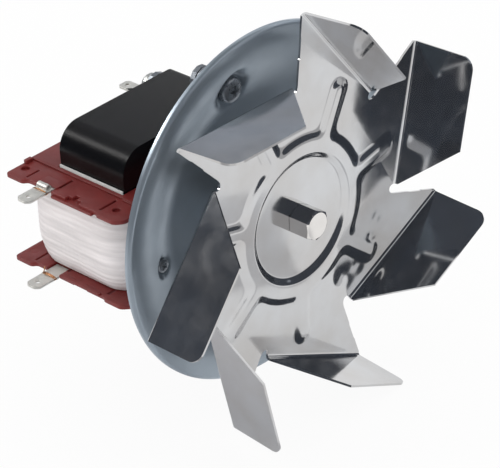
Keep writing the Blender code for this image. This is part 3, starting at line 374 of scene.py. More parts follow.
tin_finish = finish("tinned_brass", (0.76, 0.75, 0.71), 0.7, 0.45, spread=0.08, size=260.0,
                    bump=0.15, bump_size=900.0)
copper_finish = finish("bare_copper", (0.80, 0.44, 0.24), 1.0, 0.28, spread=0.15, size=700.0)
bolt_finish = finish("zinc_bolt", (0.56, 0.57, 0.56), 1.0, 0.36, spread=0.10, size=120.0,
                     bump=0.1, bump_size=700.0)
bracket_finish = finish("steel_bracket", (0.28, 0.30, 0.33), 1.0, 0.42, spread=0.10, size=120.0,
                        bump=0.1, bump_size=700.0)
rotor_finish = finish("ground_rotor_steel", (0.30, 0.30, 0.31), 1.0, 0.42, spread=0.15, size=500.0,
                      scale=(0.1, 3.0, 0.1), bump=0.2, bump_size=900.0, bump_scale=LAMINATED)
cast_finish = finish("die_cast_aluminium", (0.58, 0.58, 0.58), 1.0, 0.5, spread=0.12, size=500.0,
                     bump=0.4, bump_size=1200.0)
bronze_finish = finish("oiled_sintered_bronze", (0.42, 0.29, 0.15), 1.0, 0.5, spread=0.2, size=1500.0,
                       bump=0.4, bump_size=2500.0)
nylon_finish = finish("natural_nylon", (0.76, 0.74, 0.66), 0.0, 0.45, spread=0.05, size=200.0,
                      bump=0.05, bump_size=900.0)
print("finishes:", len(bpy.data.materials), "with", len(wheel_finish.node_tree.nodes), "nodes in the wheel's")

# %% [markdown]
# ## The folded wheel
# One stamping makes the whole wheel: a star is cut, a ring and seven ribs are pressed up towards the
# front, and seven flaps are folded forward along lines that lie 44 degrees off the radius. It could be
# cut and folded face by face, but the sheet is really one function: for each of seven equal sectors,
# one parameter runs along the fold from the tip inwards, the other from the hub hole out through disc,
# ring, arm and bend to the free edge of the flap. The pressed relief is a height that depends on the
# distance to the ring and to the rib, so both blend into each other like drawn metal does.

# %% The wheel's sizes and its pressing
BLADES = 7
STEP = 360.0 / BLADES
TIP, TIP_ANGLE = 74.97, 85.2
FOLD_END, FOLD_TURN = 50.45, 44.2
CORNER, CORNER_TURN = 49.6, 3.0
BEND, LEAN = 1.5, math.radians(94.0)
FLAP_HEIGHT, FREE_EDGE, FLAP_ROUND = 24.18, 33.5, 4.6
WHEEL_Y, WHEEL_SHEET, WHEEL_HOLE = -16.0, 0.8, 3.3
DISC_EDGE, DISC_FADE, DISC_SINK = 21.3, 3.0, 0.6
RING_EDGE, RIB_END, RIB_HALF, RIB_TURN = 28.0, 45.2, 1.2, -23.0
RAISE, SLOPE, ROOT_BLEND = 1.0, 3.4, 3.5


def pressed(xz):
    """Height of the pressing: full on the ring and the ribs, falling to nothing over SLOPE millimetres.
    The distances to ring and rib are joined by a smooth minimum, which gives the flared roots. The disc
    inside the ring lies DISC_SINK lower than the arms."""
    r = np.hypot(xz[..., 0], xz[..., 1])
    angle = np.degrees(np.arctan2(xz[..., 1], xz[..., 0]))
    off = np.radians((angle - RIB_TURN + STEP / 2) % STEP - STEP / 2)
    forward, sideways = r * np.cos(off), np.abs(r * np.sin(off))
    rib = np.hypot(np.maximum(forward - RIB_END, 0.0), sideways) - RIB_HALF
    ring = r - RING_EDGE
    blend = np.clip(0.5 + 0.5 * (ring - rib) / ROOT_BLEND, 0.0, 1.0)
    outside = ring * (1 - blend) + rib * blend - ROOT_BLEND * blend * (1 - blend)
    u = np.clip(1.0 - outside / SLOPE, 0.0, 1.0)
    flank = 0.35 * u + 0.65 * smooth(u)
    return -DISC_SINK + (RAISE * flank + DISC_SINK) * smooth((r - DISC_EDGE) / DISC_FADE)


heights = pressed(polar(np.array([10.0, 26.0, 40.0]), RIB_TURN))
print("pressing on disc, ring and rib, mm:", heights.round(2))

# %% [markdown]
# The sector is worked out for a tip on the X axis. Its fold is the line from the tip to the fold's
# inner end, and the columns of the table share one parameter s along that fold, closer together where
# the tip and the disc's edge need it. The arm's outer edge has two small steps, left by the stamping
# tool.

# %% One sector from the hub hole to the fold
tip = polar(TIP, 0.0)
fold_end = polar(FOLD_END, -FOLD_TURN)
length = float(np.linalg.norm(fold_end - tip))
along = (fold_end - tip) / length
outward = np.array([-along[1], along[0]])
outward *= np.sign(outward @ tip)
inner_end = fold_end - outward * BEND
end_r, end_a = float(np.hypot(*inner_end)), math.degrees(math.atan2(inner_end[1], inner_end[0]))

s = np.concatenate([[0.0, 0.002, 0.007, 0.015, 0.027, 0.042, 0.062, 0.09], np.linspace(0.12, 0.34, 9),
                    np.linspace(0.354, 0.76, 30), np.linspace(0.785, 1.0, 10)])
sweep = CORNER_TURN + (end_a - CORNER_TURN) * s
DISC_END = 46.0
radii = np.concatenate([np.linspace(WHEEL_HOLE, 21.2, 8), np.linspace(21.5, 24.3, 14),
                        np.linspace(24.8, 27.6, 5), np.linspace(28.1, 32.4, 10),
                        np.linspace(33.2, DISC_END, 18)])
disc = polar(radii[:, None], sweep[None, :])
edge = polar(CORNER + (end_r - CORNER) * s, sweep)
t = np.linspace(0.0, 1.0, 6)[1:, None, None]
web = disc[-1] + (edge - disc[-1]) * t

STEP_FROM, STEP_TO, STEP_IN, STEP_RAMP = 0.38, 0.71, 0.3, 0.02
near = np.array([-0.03, -0.014, 0.0, 0.014, 0.03])
t = np.unique(np.concatenate([np.linspace(0.0, 1.0, 16), 0.39 + near, 0.70 + near]))[1:]
arm_end = tip - outward * BEND + along * (length * s)[:, None]
arm = edge + (arm_end - edge) * t[:, None, None]
step_in = STEP_IN * smooth((t - STEP_FROM) / STEP_RAMP) * smooth((STEP_TO - t) / STEP_RAMP)
arm += step_in[:, None, None] * np.exp(-(s / 0.01) ** 2)[:, None] * along
flat = np.vstack([disc, web, arm])
sheet = raised(flat, WHEEL_Y - pressed(flat))
print("sector table:", sheet.shape[:2], "fold length, mm:", round(length, 2))

# %% [markdown]
# The bend is an arc of 1.5 mm, the flap is straight, its outer corner is rounded, and its inner end is
# cut obliquely, because its free edge is shorter than the fold. All three share the columns of the
# sector, so they continue the same table.

# %% Bend and flap
turn = np.linspace(0.0, LEAN, 7)[1:]
reach, rise = BEND * (np.sin(turn) - 1.0), BEND * (1.0 - np.cos(turn))
line = tip + along * (length * s)[:, None]
bend = raised(line + outward * reach[:, None, None], WHEEL_Y - rise)
free = FREE_EDGE * s
corner_drop = FLAP_ROUND - np.sqrt(np.maximum(FLAP_ROUND ** 2 - (FLAP_ROUND - free) ** 2, 0))
height = FLAP_HEIGHT - np.where(free < FLAP_ROUND, corner_drop, 0.0)
top_xz = tip + along * free[:, None] + outward * (height * math.tan(LEAN - np.pi / 2))[:, None]
top = raised(top_xz, WHEEL_Y - height)
t = np.linspace(0.0, 1.0, 15)[1:, None, None]
flap = bend[-1] + (top - bend[-1]) * t
sector = np.concatenate([sheet, bend, flap])
print("sector with bend and flap:", sector.shape[:2])

# %% [markdown]
# A few extra columns close the gap between one fold's end and the next arm: that is the small round
# relief notch, without which the sheet would tear when it is folded.

# %% Relief notch
NOTCH_DEPTH = 2.0
t = np.linspace(0.0, 1.0, 9)
notch_angle = end_a + (CORNER_TURN - STEP - end_a) * t
notch_r = end_r + (CORNER - end_r) * t - NOTCH_DEPTH * np.sqrt(np.sin(np.pi * t).clip(0))
outer_r = DISC_END + (notch_r - DISC_END)[None, :] * np.linspace(0, 1, 6)[1:, None]
notch_xz = np.vstack([polar(radii[:, None], notch_angle[None, :]), polar(outer_r, notch_angle)])
notch = raised(notch_xz, WHEEL_Y - pressed(notch_xz))
print("notch is", round(float(notch_r.min()), 1), "mm from the axis")

# %% [markdown]
# The ribs are placed by angle, so the same sector can be turned seven times. The sixth arm has been
# handled: four shallow knocks are added to it, because polished sheet shows even half a millimetre.
# The thickness comes last, half to each side of this mid-surface.

# %% Seven sectors make the wheel
KNOCKS = [(20.5, -34.0, 0.75, 3.4), (28.5, -33.0, 0.40, 2.3), (35.5, -25.0, 0.28, 1.9),
          (39.0, -18.0, 0.22, 1.7)]


def turned(points, degrees):
    """Points turned about the fan axis, from +X towards +Z."""
    c, q = math.cos(math.radians(degrees)), math.sin(math.radians(degrees))
    return points @ np.array([[c, 0, q], [0, 1, 0], [-q, 0, c]])


def knocked(points):
    """Each knock (x, z, depth, width) adds depth exp(-(distance / width)^2 / 2) to y."""
    out = points.copy()
    for x, z, depth, width in KNOCKS:
        squared = (points[..., 0] - x) ** 2 + (points[..., 2] - z) ** 2
        out[..., 1] += depth * np.exp(-0.5 * squared / width ** 2)
    return out


places = [TIP_ANGLE + STEP * k for k in range(BLADES)]
wheel_parts = [grid(knocked(turned(part, place))) for place in places for part in (sector, notch)]
make("wheel", wheel_parts, wheel_finish, "rotor", ["impeller"], sharp=30.0,
     thickness=WHEEL_SHEET)

# %% [markdown]
# ## The nut on the shaft's end
# A hexagon nut is a round bar that has been cut flat six times, so its surface is a radius over angle
# and height: the smaller of the hexagon's radius and the cone of the turned chamfer. Columns fall
# exactly on the six edges, which keeps them crisp. Its last outer row is drawn in a little, so that a
# fine dark seam shows where it meets the wheel.

# %% Nut
NUT_HALF, NUT_Y, NUT_LENGTH = 5.0, -24.1, 8.28
FACE_EDGE, CHAMFER_DEPTH, CHAMFER_SLOPE = 4.72, 0.75, 1.73
SEAM_SHARE, SEAM_HEIGHT, SEAM_ROUND = 0.965, 0.2, 5.45
BORE, BORE_END = 3.3, 2.0


def hexagon_radius(half, degrees):
    """Radius of a hexagon with a flat's middle at 0 degrees: half / cos(angle from the nearest middle)."""
    return half / np.cos(np.radians(np.minimum(degrees % 60.0, 60.0 - degrees % 60.0)))


angle = np.arange(72) * 5.0
hexagon = hexagon_radius(NUT_HALF, angle)
cut = np.linspace(0.0, CHAMFER_DEPTH, 7)
face = np.minimum(hexagon, FACE_EDGE) * np.linspace(0.0, 0.9, 4)[:, None]
chamfer = np.minimum(hexagon, (FACE_EDGE + CHAMFER_SLOPE * cut)[:, None])
seam = SEAM_SHARE * np.minimum(hexagon, SEAM_ROUND)
bore = np.array([BORE, BORE, 0.0])[:, None] * np.ones(len(angle))
radius = np.vstack([face, chamfer, hexagon, hexagon, seam, bore])
sides = [4.0, NUT_LENGTH - SEAM_HEIGHT, NUT_LENGTH]
depth = np.concatenate([[0.0] * 4, cut, sides, [NUT_LENGTH, BORE_END, BORE_END]])
nut_table = raised(polar(radius, angle[None, :]), NUT_Y + depth)
make("nut", [grid(nut_table, wrap_cols=True)], nut_finish, "rotor", ["cap_nut"], sharp=18.0)

# %% [markdown]
# ## The shaft
# Turned stock of 8 mm: a thinner threaded end for the nut, a collar that the wheel's disc rests on, and
# broken edges at both ends.

# %% Shaft
SHAFT, THREAD, COLLAR, BREAK = 4.0, 3.0, 6.5, 0.3
COLLAR_FRONT, COLLAR_BACK = -14.7, -11.3
SHAFT_FRONT, SHAFT_BACK = -21.8, 61.6
thread = [(0.0, SHAFT_FRONT), (THREAD - 0.4, SHAFT_FRONT), (THREAD, SHAFT_FRONT + 0.4),
          (THREAD, COLLAR_FRONT)]
collar = [(COLLAR - BREAK, COLLAR_FRONT), (COLLAR, COLLAR_FRONT + BREAK), (COLLAR, COLLAR_BACK - BREAK),
          (COLLAR - BREAK, COLLAR_BACK)]
journal = [(SHAFT, COLLAR_BACK), (SHAFT, SHAFT_BACK - BREAK), (SHAFT - BREAK, SHAFT_BACK), (0.0, SHAFT_BACK)]
shaft_profile = thread + collar + journal
make("fan_shaft", [revolve(shaft_profile, 72)], rotor_finish, "rotor", ["shaft"], sharp=30.0)

# %% [markdown]
# ## The dished plate
# A disc with a rolled rim, pressed 6.6 mm deep, with a flat seat pressed around each screw. It is a
# surface of revolution apart from those seats, so a polar table holds it: the depth over the radius is a
# smooth step, and near a seat it is blended into the flat floor by the distance to that screw.

# %% Plate
FIXINGS = {"top": (46.0, 99.7), "right": (46.0, 9.7), "bottom": (46.0, 279.7)}
SMALL_FIXING = (44.5, 187.3)
PLATE_SHEET, PLATE_DEPTH, PLATE_HOLE = 1.0, 6.6, 7.2
DISH_FLOOR, DISH_EDGE = 38.0, 62.2
RIM_START, RIM_BEND, RIM_END = 63.2, 0.8, 2.3
SEATS = [(fixing, 5.2, 3.6) for fixing in FIXINGS.values()] + [(SMALL_FIXING, 3.0, 1.3)]

radii = np.concatenate([np.linspace(PLATE_HOLE, 34.0, 10), np.linspace(35.0, DISH_EDGE, 44),
                        [62.8, RIM_START]])
angles = np.arange(264) * 360.0 / 264
xz = polar(radii[:, None], angles[None, :])
slope = smooth((DISH_EDGE - radii) / (DISH_EDGE - DISH_FLOOR))
depth = PLATE_SHEET / 2 + PLATE_DEPTH * slope[:, None] * np.ones(len(angles))
for (seat_r, seat_angle), flat_r, fade in SEATS:
    distance = np.linalg.norm(xz - polar(seat_r, seat_angle), axis=-1)
    blend = smooth((flat_r + fade - distance) / fade)
    depth = depth * (1 - blend) + (PLATE_DEPTH + PLATE_SHEET / 2) * blend
dish = raised(xz, depth)

turn = np.linspace(0.0, np.pi / 2, 7)[1:]
rim_r = np.concatenate([RIM_START + RIM_BEND * np.sin(turn), [RIM_START + RIM_BEND] * 2])
rim_y = np.concatenate([PLATE_SHEET / 2 + RIM_BEND * (1 - np.cos(turn)), [1.7, RIM_END]])
rim = raised(polar(rim_r[:, None], angles[None, :]), rim_y)
make("dished_plate", [grid(np.concatenate([dish, rim]), wrap_cols=True)], plate_finish, "motor",
     ["mounting_plate"], sharp=40.0, thickness=PLATE_SHEET)

# %% [markdown]
# ## Screws in the plate
# A pan head is a dome over the radius with a cross pressed into it. The cross is a depth that is full
# where either coordinate is small and the radius is inside the driver's reach, and it gets deeper
# towards the middle as the driver's tip does.

# %% Pan-head screws and their small neighbour
def screw(name, place, head_r, head_h, shank_r, end_y, cross, stands_for, twist):
    """Dome y = seat - h (0.35 + 0.65 (1 - (r/R)^3.2)^0.5) with a pressed cross, then underside, shank
    and end."""
    cx, cz = polar(*place)
    r = np.concatenate([np.linspace(0.0, cross * 1.15, 22), np.linspace(cross * 1.25, head_r, 12)])
    a = np.arange(96) * 3.75
    dome = SCREW_SEAT - 0.35 * head_h - 0.65 * head_h * np.sqrt(np.clip(1 - (r / head_r) ** 3.2, 0.0, 1.0))
    local = polar(r[:, None], (a + twist)[None, :])
    width = cross * 0.24
    slot = smooth((width - np.abs(local).min(-1)) / (0.10 * cross) + 0.5)
    slot = slot * smooth((cross - r[:, None]) / (0.15 * cross))
    sink = head_h * 0.62 * slot * (1.0 - 0.55 * r[:, None] / cross)
    head = raised(polar(r[:, None], a[None, :], cx, cz), dome[:, None] + sink)
    under = [(head_r, float(dome[-1])), (head_r, SCREW_SEAT - 0.1), (head_r - 0.1, SCREW_SEAT)]
    shank = [(shank_r, SCREW_SEAT), (shank_r, end_y - 0.4), (shank_r - 0.4, end_y), (0.0, end_y)]
    tail = revolve(under + shank, 96, cx, cz)
    make(name, [grid(head, wrap_cols=True), tail], screw_finish, "motor", stands_for, sharp=38.0)


SCREW_SEAT = PLATE_DEPTH - 0.3
TWISTS = {"top": 12.0, "right": 50.0, "bottom": 75.0}
for place in FIXINGS:
    screw("pan_screw_" + place, FIXINGS[place], head_r=4.6, head_h=3.0, shank_r=2.5, end_y=15.6, cross=2.1,
          stands_for=["plate_screw_" + place], twist=TWISTS[place])
screw("small_screw", SMALL_FIXING, head_r=2.5, head_h=1.2, shank_r=1.5, end_y=9.0, cross=1.35,
      stands_for=["plate_screw_left"], twist=30.0)

# %% [markdown]
# ## Posts between plate and motor
# Turned round stock, drilled and tapped at the plate's end and shouldered at the motor's end. A turned
# part is its profile carried round, so only the profile is given. Its corners are broken as a lathe
# hand breaks them.

# %% Posts
POST, DRILL, TENON = 4.7, 2.8, 2.7
POST_FRONT, POST_BACK, DRILL_END, TENON_END = 7.9, 17.3, 16.5, 20.4
corners = [(0.0, DRILL_END), (DRILL, DRILL_END), (DRILL, POST_FRONT), (POST, POST_FRONT),
           (POST, POST_BACK), (TENON, POST_BACK), (TENON, TENON_END), (0.0, TENON_END)]
post_profile = soften(corners, [0, 0.2, 0.3, 0.35, 0.3, 0.2, 0.5, 0], 3, closed=False)
for place, fixing in FIXINGS.items():
    make("post_" + place, [revolve(post_profile, 64, *polar(*fixing))], post_finish, "motor",
         ["standoff_" + place], sharp=45.0)

# %% [markdown]
# ## The lamination stack
# Sixty sheets of half-millimetre steel, stamped to one outline, stacked and lacquered black. The
# outline repeated along the stack is the surface: every sheet has two rows that are set back a few
# hundredths, where the burr is broken, and two full ones, so that light catches the real edges. The
# front and back are lids with the bore, the bolt holes and the slots of the copper rings.

# %% Core
STACK_FRONT, STACK_LENGTH, SHEETS = 19.9, 30.4, 60
LEG_LEFT, LEG_RIGHT, STUB, ARM_UNDER = -45.7, -29.7, 14.3, 18.3
CORE_TOP, CORE_CORNER, BURR = 32.2, 9.0, 0.05
CORE_BORE, RING_SLOT, RING_CIRCLE = 12.5, 1.29, 14.35
BOLT_X, BOLT_Z, BOLT_HOLE = 3.0, 27.0, 2.3
shoulder = polar(CORE_CORNER, np.linspace(180.0, 90.0, 17), LEG_LEFT + CORE_CORNER, CORE_TOP - CORE_CORNER)
pole = [(8.5, CORE_TOP), (18.5, 22.2), (18.5, 6.0), (15.6, 4.5)]
half = np.vstack([[(LEG_LEFT, STUB)], shoulder, pole])
inner = np.array([(-18.0, ARM_UNDER), (LEG_RIGHT, ARM_UNDER), (LEG_RIGHT, STUB)])
mirror = np.array([1.0, -1.0])
corners = np.vstack([half, half[::-1] * mirror, inner[::-1] * mirror, inner])
rounding = np.where((corners[:, 0] > 8.0) & (np.abs(corners[:, 1]) > 20.0), 1.2, 0.0)
outline = soften(corners, rounding, 4)
holes = [circle(CORE_BORE, 64)] + [circle(BOLT_HOLE, 24, BOLT_X, z) for z in (BOLT_Z, -BOLT_Z)]
holes += [circle(RING_SLOT, 16, *polar(RING_CIRCLE, a)) for a in (30.0, 70.0, 210.0, 250.0)]

pitch = STACK_LENGTH / SHEETS
levels = STACK_FRONT + pitch * (np.arange(SHEETS)[:, None] + np.array([0.02, 0.2, 0.8, 0.98])).ravel()
levels[0], levels[-1] = STACK_FRONT, STACK_FRONT + STACK_LENGTH
rows = np.array([inset(outline, back) for back in np.tile([BURR, 0.0, 0.0, BURR], SHEETS)])
parts = [grid(raised(rows, levels), wrap_cols=True)]
for level in (levels[0], levels[-1]):
    points, faces = lid(rows[0], holes, level)
    parts.append((points[:, [0, 2, 1]], faces))
for hole in holes:
    parts.append(grid(raised(np.stack([hole, hole]), levels[[0, -1]]), wrap_cols=True))
make("lamination_stack", parts, core_finish, "motor", ["stator_core"], sharp=55.0)

# %% [markdown]
# ## The coil former
# A moulding in two flanges on a square tube. Each flange has a lower strip along its left edge, where
# the tabs sit, and a slightly higher field around the core; between them runs a thin rib. Ears with
# blind holes at the corners, a small lug, three slots, a T-shaped cut with its floor, a bridge over the
# tab's root and a narrow lip under the edge are all plates with outlines, so the plate helper makes
# them, with soft moulded edges. The outlines come first.

# %% Outlines of the former
LEFT, RIGHT, FRONT, REAR = -60.0, -18.5, 8.4, 62.6
TAB_Y, POCKET, SHARP = 44.8, 3.45, 0.2
front_and_right = [(LEFT, FRONT + 2.8, 1.4), (LEFT + 2.8, FRONT, 1.4), (RIGHT - 2, FRONT, 1.0),
                   (RIGHT, FRONT + 2, 1.5), (RIGHT, REAR - 2, 1.5), (RIGHT - 2, REAR, 1.0)]
rear_ear = [(LEFT + 0.9, REAR, 0.9), (LEFT, REAR - 0.7, 0.9), (LEFT, REAR - 8.2, 1.2),
            (LEFT + 1.7, REAR - 9.4, 1.2)]
tab_pocket = [(LEFT + 1.7, TAB_Y + POCKET, SHARP), (LEFT + 6.5, TAB_Y + POCKET, SHARP),
              (LEFT + 6.5, TAB_Y - POCKET, SHARP), (LEFT + 0.9, TAB_Y - POCKET, SHARP)]
t_cut = [(LEFT + x, y, SHARP) for x, y in [(0.9, 34.4), (2.6, 34.4), (2.6, 32.6), (4.4, 32.6),
                                           (4.4, 30.6), (2.6, 30.6), (2.6, 28.2), (0.9, 28.2)]]
front_ear = [(LEFT + 0.9, FRONT + 11.4, 1.0), (LEFT, FRONT + 10.4, 1.0)]
strip = np.array(front_and_right + rear_ear + tab_pocket + t_cut + front_ear)
window = oblong(-46.7, 19.6, -29.4, 50.6)
tube_wall = oblong(-47.9, 18.4, -28.2, 51.8)
slots = [oblong(-55.6, 40.3, -49.4, 41.2), oblong(-57.2, 19.3, -49.6, 20.3), oblong(-57.4, 54.4, -51.6, 55.2)]
ears = [circle(1.55, 24, -53.7, 59.4), circle(1.35, 24, -54.0, 15.4)]
field = np.array([(-48.2, FRONT + 0.05), (RIGHT - 2, FRONT + 0.05), (RIGHT - 0.05, FRONT + 2),
                  (RIGHT - 0.05, REAR - 2), (RIGHT - 2, REAR - 0.05), (-48.2, REAR - 0.05)])
rib = oblong(-49.0, FRONT + 0.05, -48.1, FRONT + 9.5)
lip = oblong(LEFT, 21.4, LEFT + 1.6, 40.8)
lug = oblong(-51.6, 61.0, -48.6, 62.5)
bridge = oblong(-57.0, TAB_Y - 4.2, -52.8, TAB_Y + 4.2)
cut_floor = oblong(LEFT + 1.0, 28.0, LEFT + 4.6, 34.6)
print("flange, mm:", RIGHT - LEFT, "x", round(REAR - FRONT, 1), "with", len(strip), "corners")

# %% [markdown]
# Every outline becomes a plate between two heights above the coil's middle, and the lower flange is the
# upper one mirrored. The tube between them is one more plate, tall and with the core's window in it.

# %% Former
def flange(side):
    """The plates of one flange, with z = side times the height above the coil's middle."""
    layers = [(soften(strip[:, :2], strip[:, 2], 5), [window] + slots + ears, 15.7, 17.2, 0.2),
              (soften(field, 0.6, 4), [window], 17.15, 17.9, 0.18),
              (soften(rib, 0.3, 3), [], 17.0, 17.88, 0.15),
              (soften(lip, 0.5, 3), [], 15.2, 16.1, 0.2),
              (soften(lug, 0.3, 3), [], 17.1, 18.5, 0.15),
              (soften(bridge, 0.4, 3), [], 17.25, 17.65, 0.12)]
    layers += [(inset(ear, -0.12), [], 15.75, 16.15, 0.0) for ear in ears]
    layers += [(cut_floor, [], 15.72, 16.0, 0.0)]
    return [(points * (1.0, 1.0, side), faces) for layer in layers for points, faces in plate(*layer)]


parts = flange(1.0) + flange(-1.0) + plate(tube_wall, [window], -15.9, 15.9, 0.1)
make("coil_former", parts, former_finish, "motor", ["bobbin"], sharp=40.0)

# %% [markdown]
# ## The taped coil
# Wire is wound on the former until it bulges, and a soft pale tape is bound round it. The surface runs
# round a rounded rectangle in one direction and up the coil in the other. Its distance from the middle
# is the bulge, plus the faint ridges of the turns under the tape, plus a slow unevenness. One step
# along the way marks where the tape's end lies over its start.

# %% Tape
def rounded_loop(cx, cy, hx, hy, radius, count):
    """Points at equal steps of length round a rectangle with round corners, their outward normals, and
    their share of the way round."""
    q = np.linspace(0, np.pi / 2, 13)
    signs = [(1, 1), (-1, 1), (-1, -1), (1, -1)]
    arcs = [np.column_stack([cx + sx * (hx - radius) + radius * np.cos(q + k * np.pi / 2),
                             cy + sy * (hy - radius) + radius * np.sin(q + k * np.pi / 2)])
            for k, (sx, sy) in enumerate(signs)]
    closed = np.vstack(arcs + [arcs[0][:1]])
    run = np.concatenate([[0.0], np.cumsum(np.linalg.norm(np.diff(closed, axis=0), axis=1))])
    at = np.linspace(0.0, run[-1], count, endpoint=False)
    loop = np.column_stack([np.interp(at, run, closed[:, 0]), np.interp(at, run, closed[:, 1])])
    side = np.roll(loop, -1, 0) - np.roll(loop, 1, 0)
    side /= np.linalg.norm(side, axis=1)[:, None]
    return loop, np.column_stack([side[:, 1], -side[:, 0]]), at / run[-1]


COIL_X, COIL_Y, COIL_TOP, COIL_COUNT = -38.95, 34.5, 15.4, 240
BULGE, TAPE, RIDGE, RIDGE_PITCH = 2.8, 0.8, 0.10, 1.9
loop, normal, share = rounded_loop(COIL_X, COIL_Y, 15.25, 22.2, 9.8, COIL_COUNT)
round_way = share[None, :]
up = np.linspace(-1.0, 1.0, 89)[:, None]
bulge = BULGE * (1.0 - np.abs(up) ** 3.2)
ridges = RIDGE * np.cos(2 * np.pi * up * COIL_TOP / RIDGE_PITCH + 0.5 * np.sin(4 * np.pi * round_way))
wave = 0.16 * np.sin(2 * np.pi * (3 * round_way + 0.35 * up))
wave = wave + 0.10 * np.sin(2 * np.pi * (7 * round_way - 0.8 * up) + 1.3)
lap = 0.18 * smooth((round_way - 0.42) / 0.004) * smooth((0.55 - round_way) / 0.03)
reach = bulge + (ridges + wave + lap) * (1.0 - np.abs(up) ** 6)
skin = loop[None] + normal[None] * reach[..., None]
outer = np.dstack([skin, np.broadcast_to(up * COIL_TOP, skin.shape[:2])])
under = outer[::-1].copy()
under[..., :2] -= normal[None] * TAPE
make("binding_tape", [grid(np.concatenate([outer, under]), wrap_rows=True, wrap_cols=True)], tape_finish,
     "motor", ["coil_tape"], sharp=60.0)

# %% [markdown]
# The copper under the tape follows the same loop and bulge, 1.3 mm further in, and is lined by the
# straight walls of the former. It hardly shows, but its plain solid would stand out of the finer tape.

# %% Winding
WINDING_IN = 1.3
coarse = slice(None, None, 8)
wound = loop[None] + normal[None] * (bulge[coarse, :, None] - WINDING_IN)
body = np.dstack([wound, np.broadcast_to(up[coarse] * COIL_TOP, wound.shape[:2])])
inside = rounded_loop(-38.05, 35.1, 10.2, 17.1, 0.6, COIL_COUNT)[0]
lining = np.stack([np.column_stack([inside, np.full(COIL_COUNT, level)]) for level in (COIL_TOP, -COIL_TOP)])
make("winding", [grid(np.concatenate([body, lining]), wrap_rows=True, wrap_cols=True)], copper_finish,
     "motor", ["coil_winding"], sharp=50.0)

# %% [markdown]
# ## Lead tabs
# Each lead tab is stamped from tinned sheet with chamfered tip, a locking hole and small shoulders.
# A tongue of the same sheet is rolled over at its root to grip it in the former: a strip along a spiral
# of a little more than half a turn.

# %% Tab and tongue
TAB_TIP, TAB_SHEET, TAB_TOP, TAB_HALF = -69.3, 0.8, 17.2, 3.1
CURL_X, CURL_SHEET, CURL_OPEN, CURL_SHUT = -58.4, 0.6, 1.1, 0.95
EYE, EYE_PLACE = 0.85, 3.4
CHAMFER_LONG, CHAMFER_IN, ROOT_HALF, ROOT_END = 1.4, 1.5, 3.15, -53.9
tab_outline = np.array([
    (TAB_TIP, CHAMFER_IN - TAB_HALF, 0.5), (TAB_TIP + CHAMFER_LONG, -TAB_HALF, 0.5), (-62.6, -TAB_HALF, 0.1),
    (-62.4, -ROOT_HALF, 0.1), (ROOT_END, -ROOT_HALF, 0.1), (ROOT_END, ROOT_HALF, 0.1),
    (-61.4, ROOT_HALF, 0.1), (-61.6, TAB_HALF, 0.1), (TAB_TIP + CHAMFER_LONG, TAB_HALF, 0.5),
    (TAB_TIP, TAB_HALF - CHAMFER_IN, 0.5)])
blade = soften(tab_outline[:, :2] + (0.0, TAB_Y), tab_outline[:, 2], 4)


def tongue(side):
    """Strip along a spiral: x = CURL_X + r cos a, z = r sin a above the tab, while r gets smaller."""
    curl = np.radians(np.linspace(-20.0, 205.0, 24))
    ray = np.column_stack([np.cos(curl), side * np.sin(curl)])
    spiral = np.linspace(CURL_OPEN, CURL_SHUT, 24)[:, None] * ray
    middle = np.array([CURL_X, side * (TAB_TOP + 0.1)]) + spiral
    section = np.vstack([middle + CURL_SHEET / 2 * ray, (middle - CURL_SHEET / 2 * ray)[::-1]])
    count = len(section)
    places = TAB_Y + np.array([-1.6, -1.5, 2.8, 2.9])
    rolled = raised(np.broadcast_to(section, (len(places), count, 2)), places)
    index = np.arange(count // 2 - 1)
    quads = np.stack([index, index + 1, count - 2 - index, count - 1 - index], axis=1).tolist()
    return [grid(rolled, wrap_cols=True), (rolled[0], quads), (rolled[-1], quads)]


def lead_tab(name, side):
    """The flat blade between its two heights, with its eye and its tongue."""
    low, high = sorted((side * (TAB_TOP - TAB_SHEET), side * TAB_TOP))
    tab = plate(blade, [circle(EYE, 32, TAB_TIP + EYE_PLACE, TAB_Y)], low, high, 0.12)
    make("tab_" + name, tab + tongue(side), tin_finish, "motor", ["terminal_" + name], sharp=40.0)


print("tab, mm:", round(ROOT_END - TAB_TIP, 1), "long and", 2 * ROOT_HALF, "wide at the root")

# %% [markdown]
# The two strands of each wire end are tubes along a helix round the tab's root. A ring of points is
# set across the path at every step, from the path's direction and a fixed slanting one. Then both tabs
# are made with their wires, the lower ones mirrored.

# %% Wire ends, and both tabs with their wires
WIRE, STRAND_STEP = 0.13, np.array([0.30, 0.05, 0.0])
WRAP_HALF, WRAP_HEIGHT = 3.38, 0.66


def wire_path(side):
    """A turn and a half round the tab's root, then down into the coil."""
    turn = np.radians(180.0 + np.linspace(0.0, 540.0, 91))
    x = np.linspace(LEFT - 1.3, LEFT - 0.4, 91)
    middle = side * (TAB_TOP - TAB_SHEET / 2)
    path = np.column_stack([x, TAB_Y + WRAP_HALF * np.cos(turn), middle + side * WRAP_HEIGHT * np.sin(turn)])
    tail = np.array([[0.1, -0.2, -0.5], [0.15, -0.5, -1.2], [0.2, -0.8, -2.6]]) * (1.0, 1.0, side)
    return np.vstack([path, path[-1] + tail])


def tube(path, radius, count=10):
    """A ring of points round every point of the path, in the plane across its direction, with closed ends."""
    ahead = np.gradient(path, axis=0)
    ahead /= np.linalg.norm(ahead, axis=1)[:, None]
    side = np.cross(ahead, [0.23, 0.11, 0.97])
    side /= np.linalg.norm(side, axis=1)[:, None]
    above = np.cross(side, ahead)
    a = np.arange(count) * math.tau / count
    ring = np.cos(a)[None, :, None] * side[:, None] + np.sin(a)[None, :, None] * above[:, None]
    first, last = np.repeat(path[:1][:, None], count, 1), np.repeat(path[-1:][:, None], count, 1)
    return grid(np.concatenate([first, path[:, None] + radius * ring, last]), wrap_cols=True)


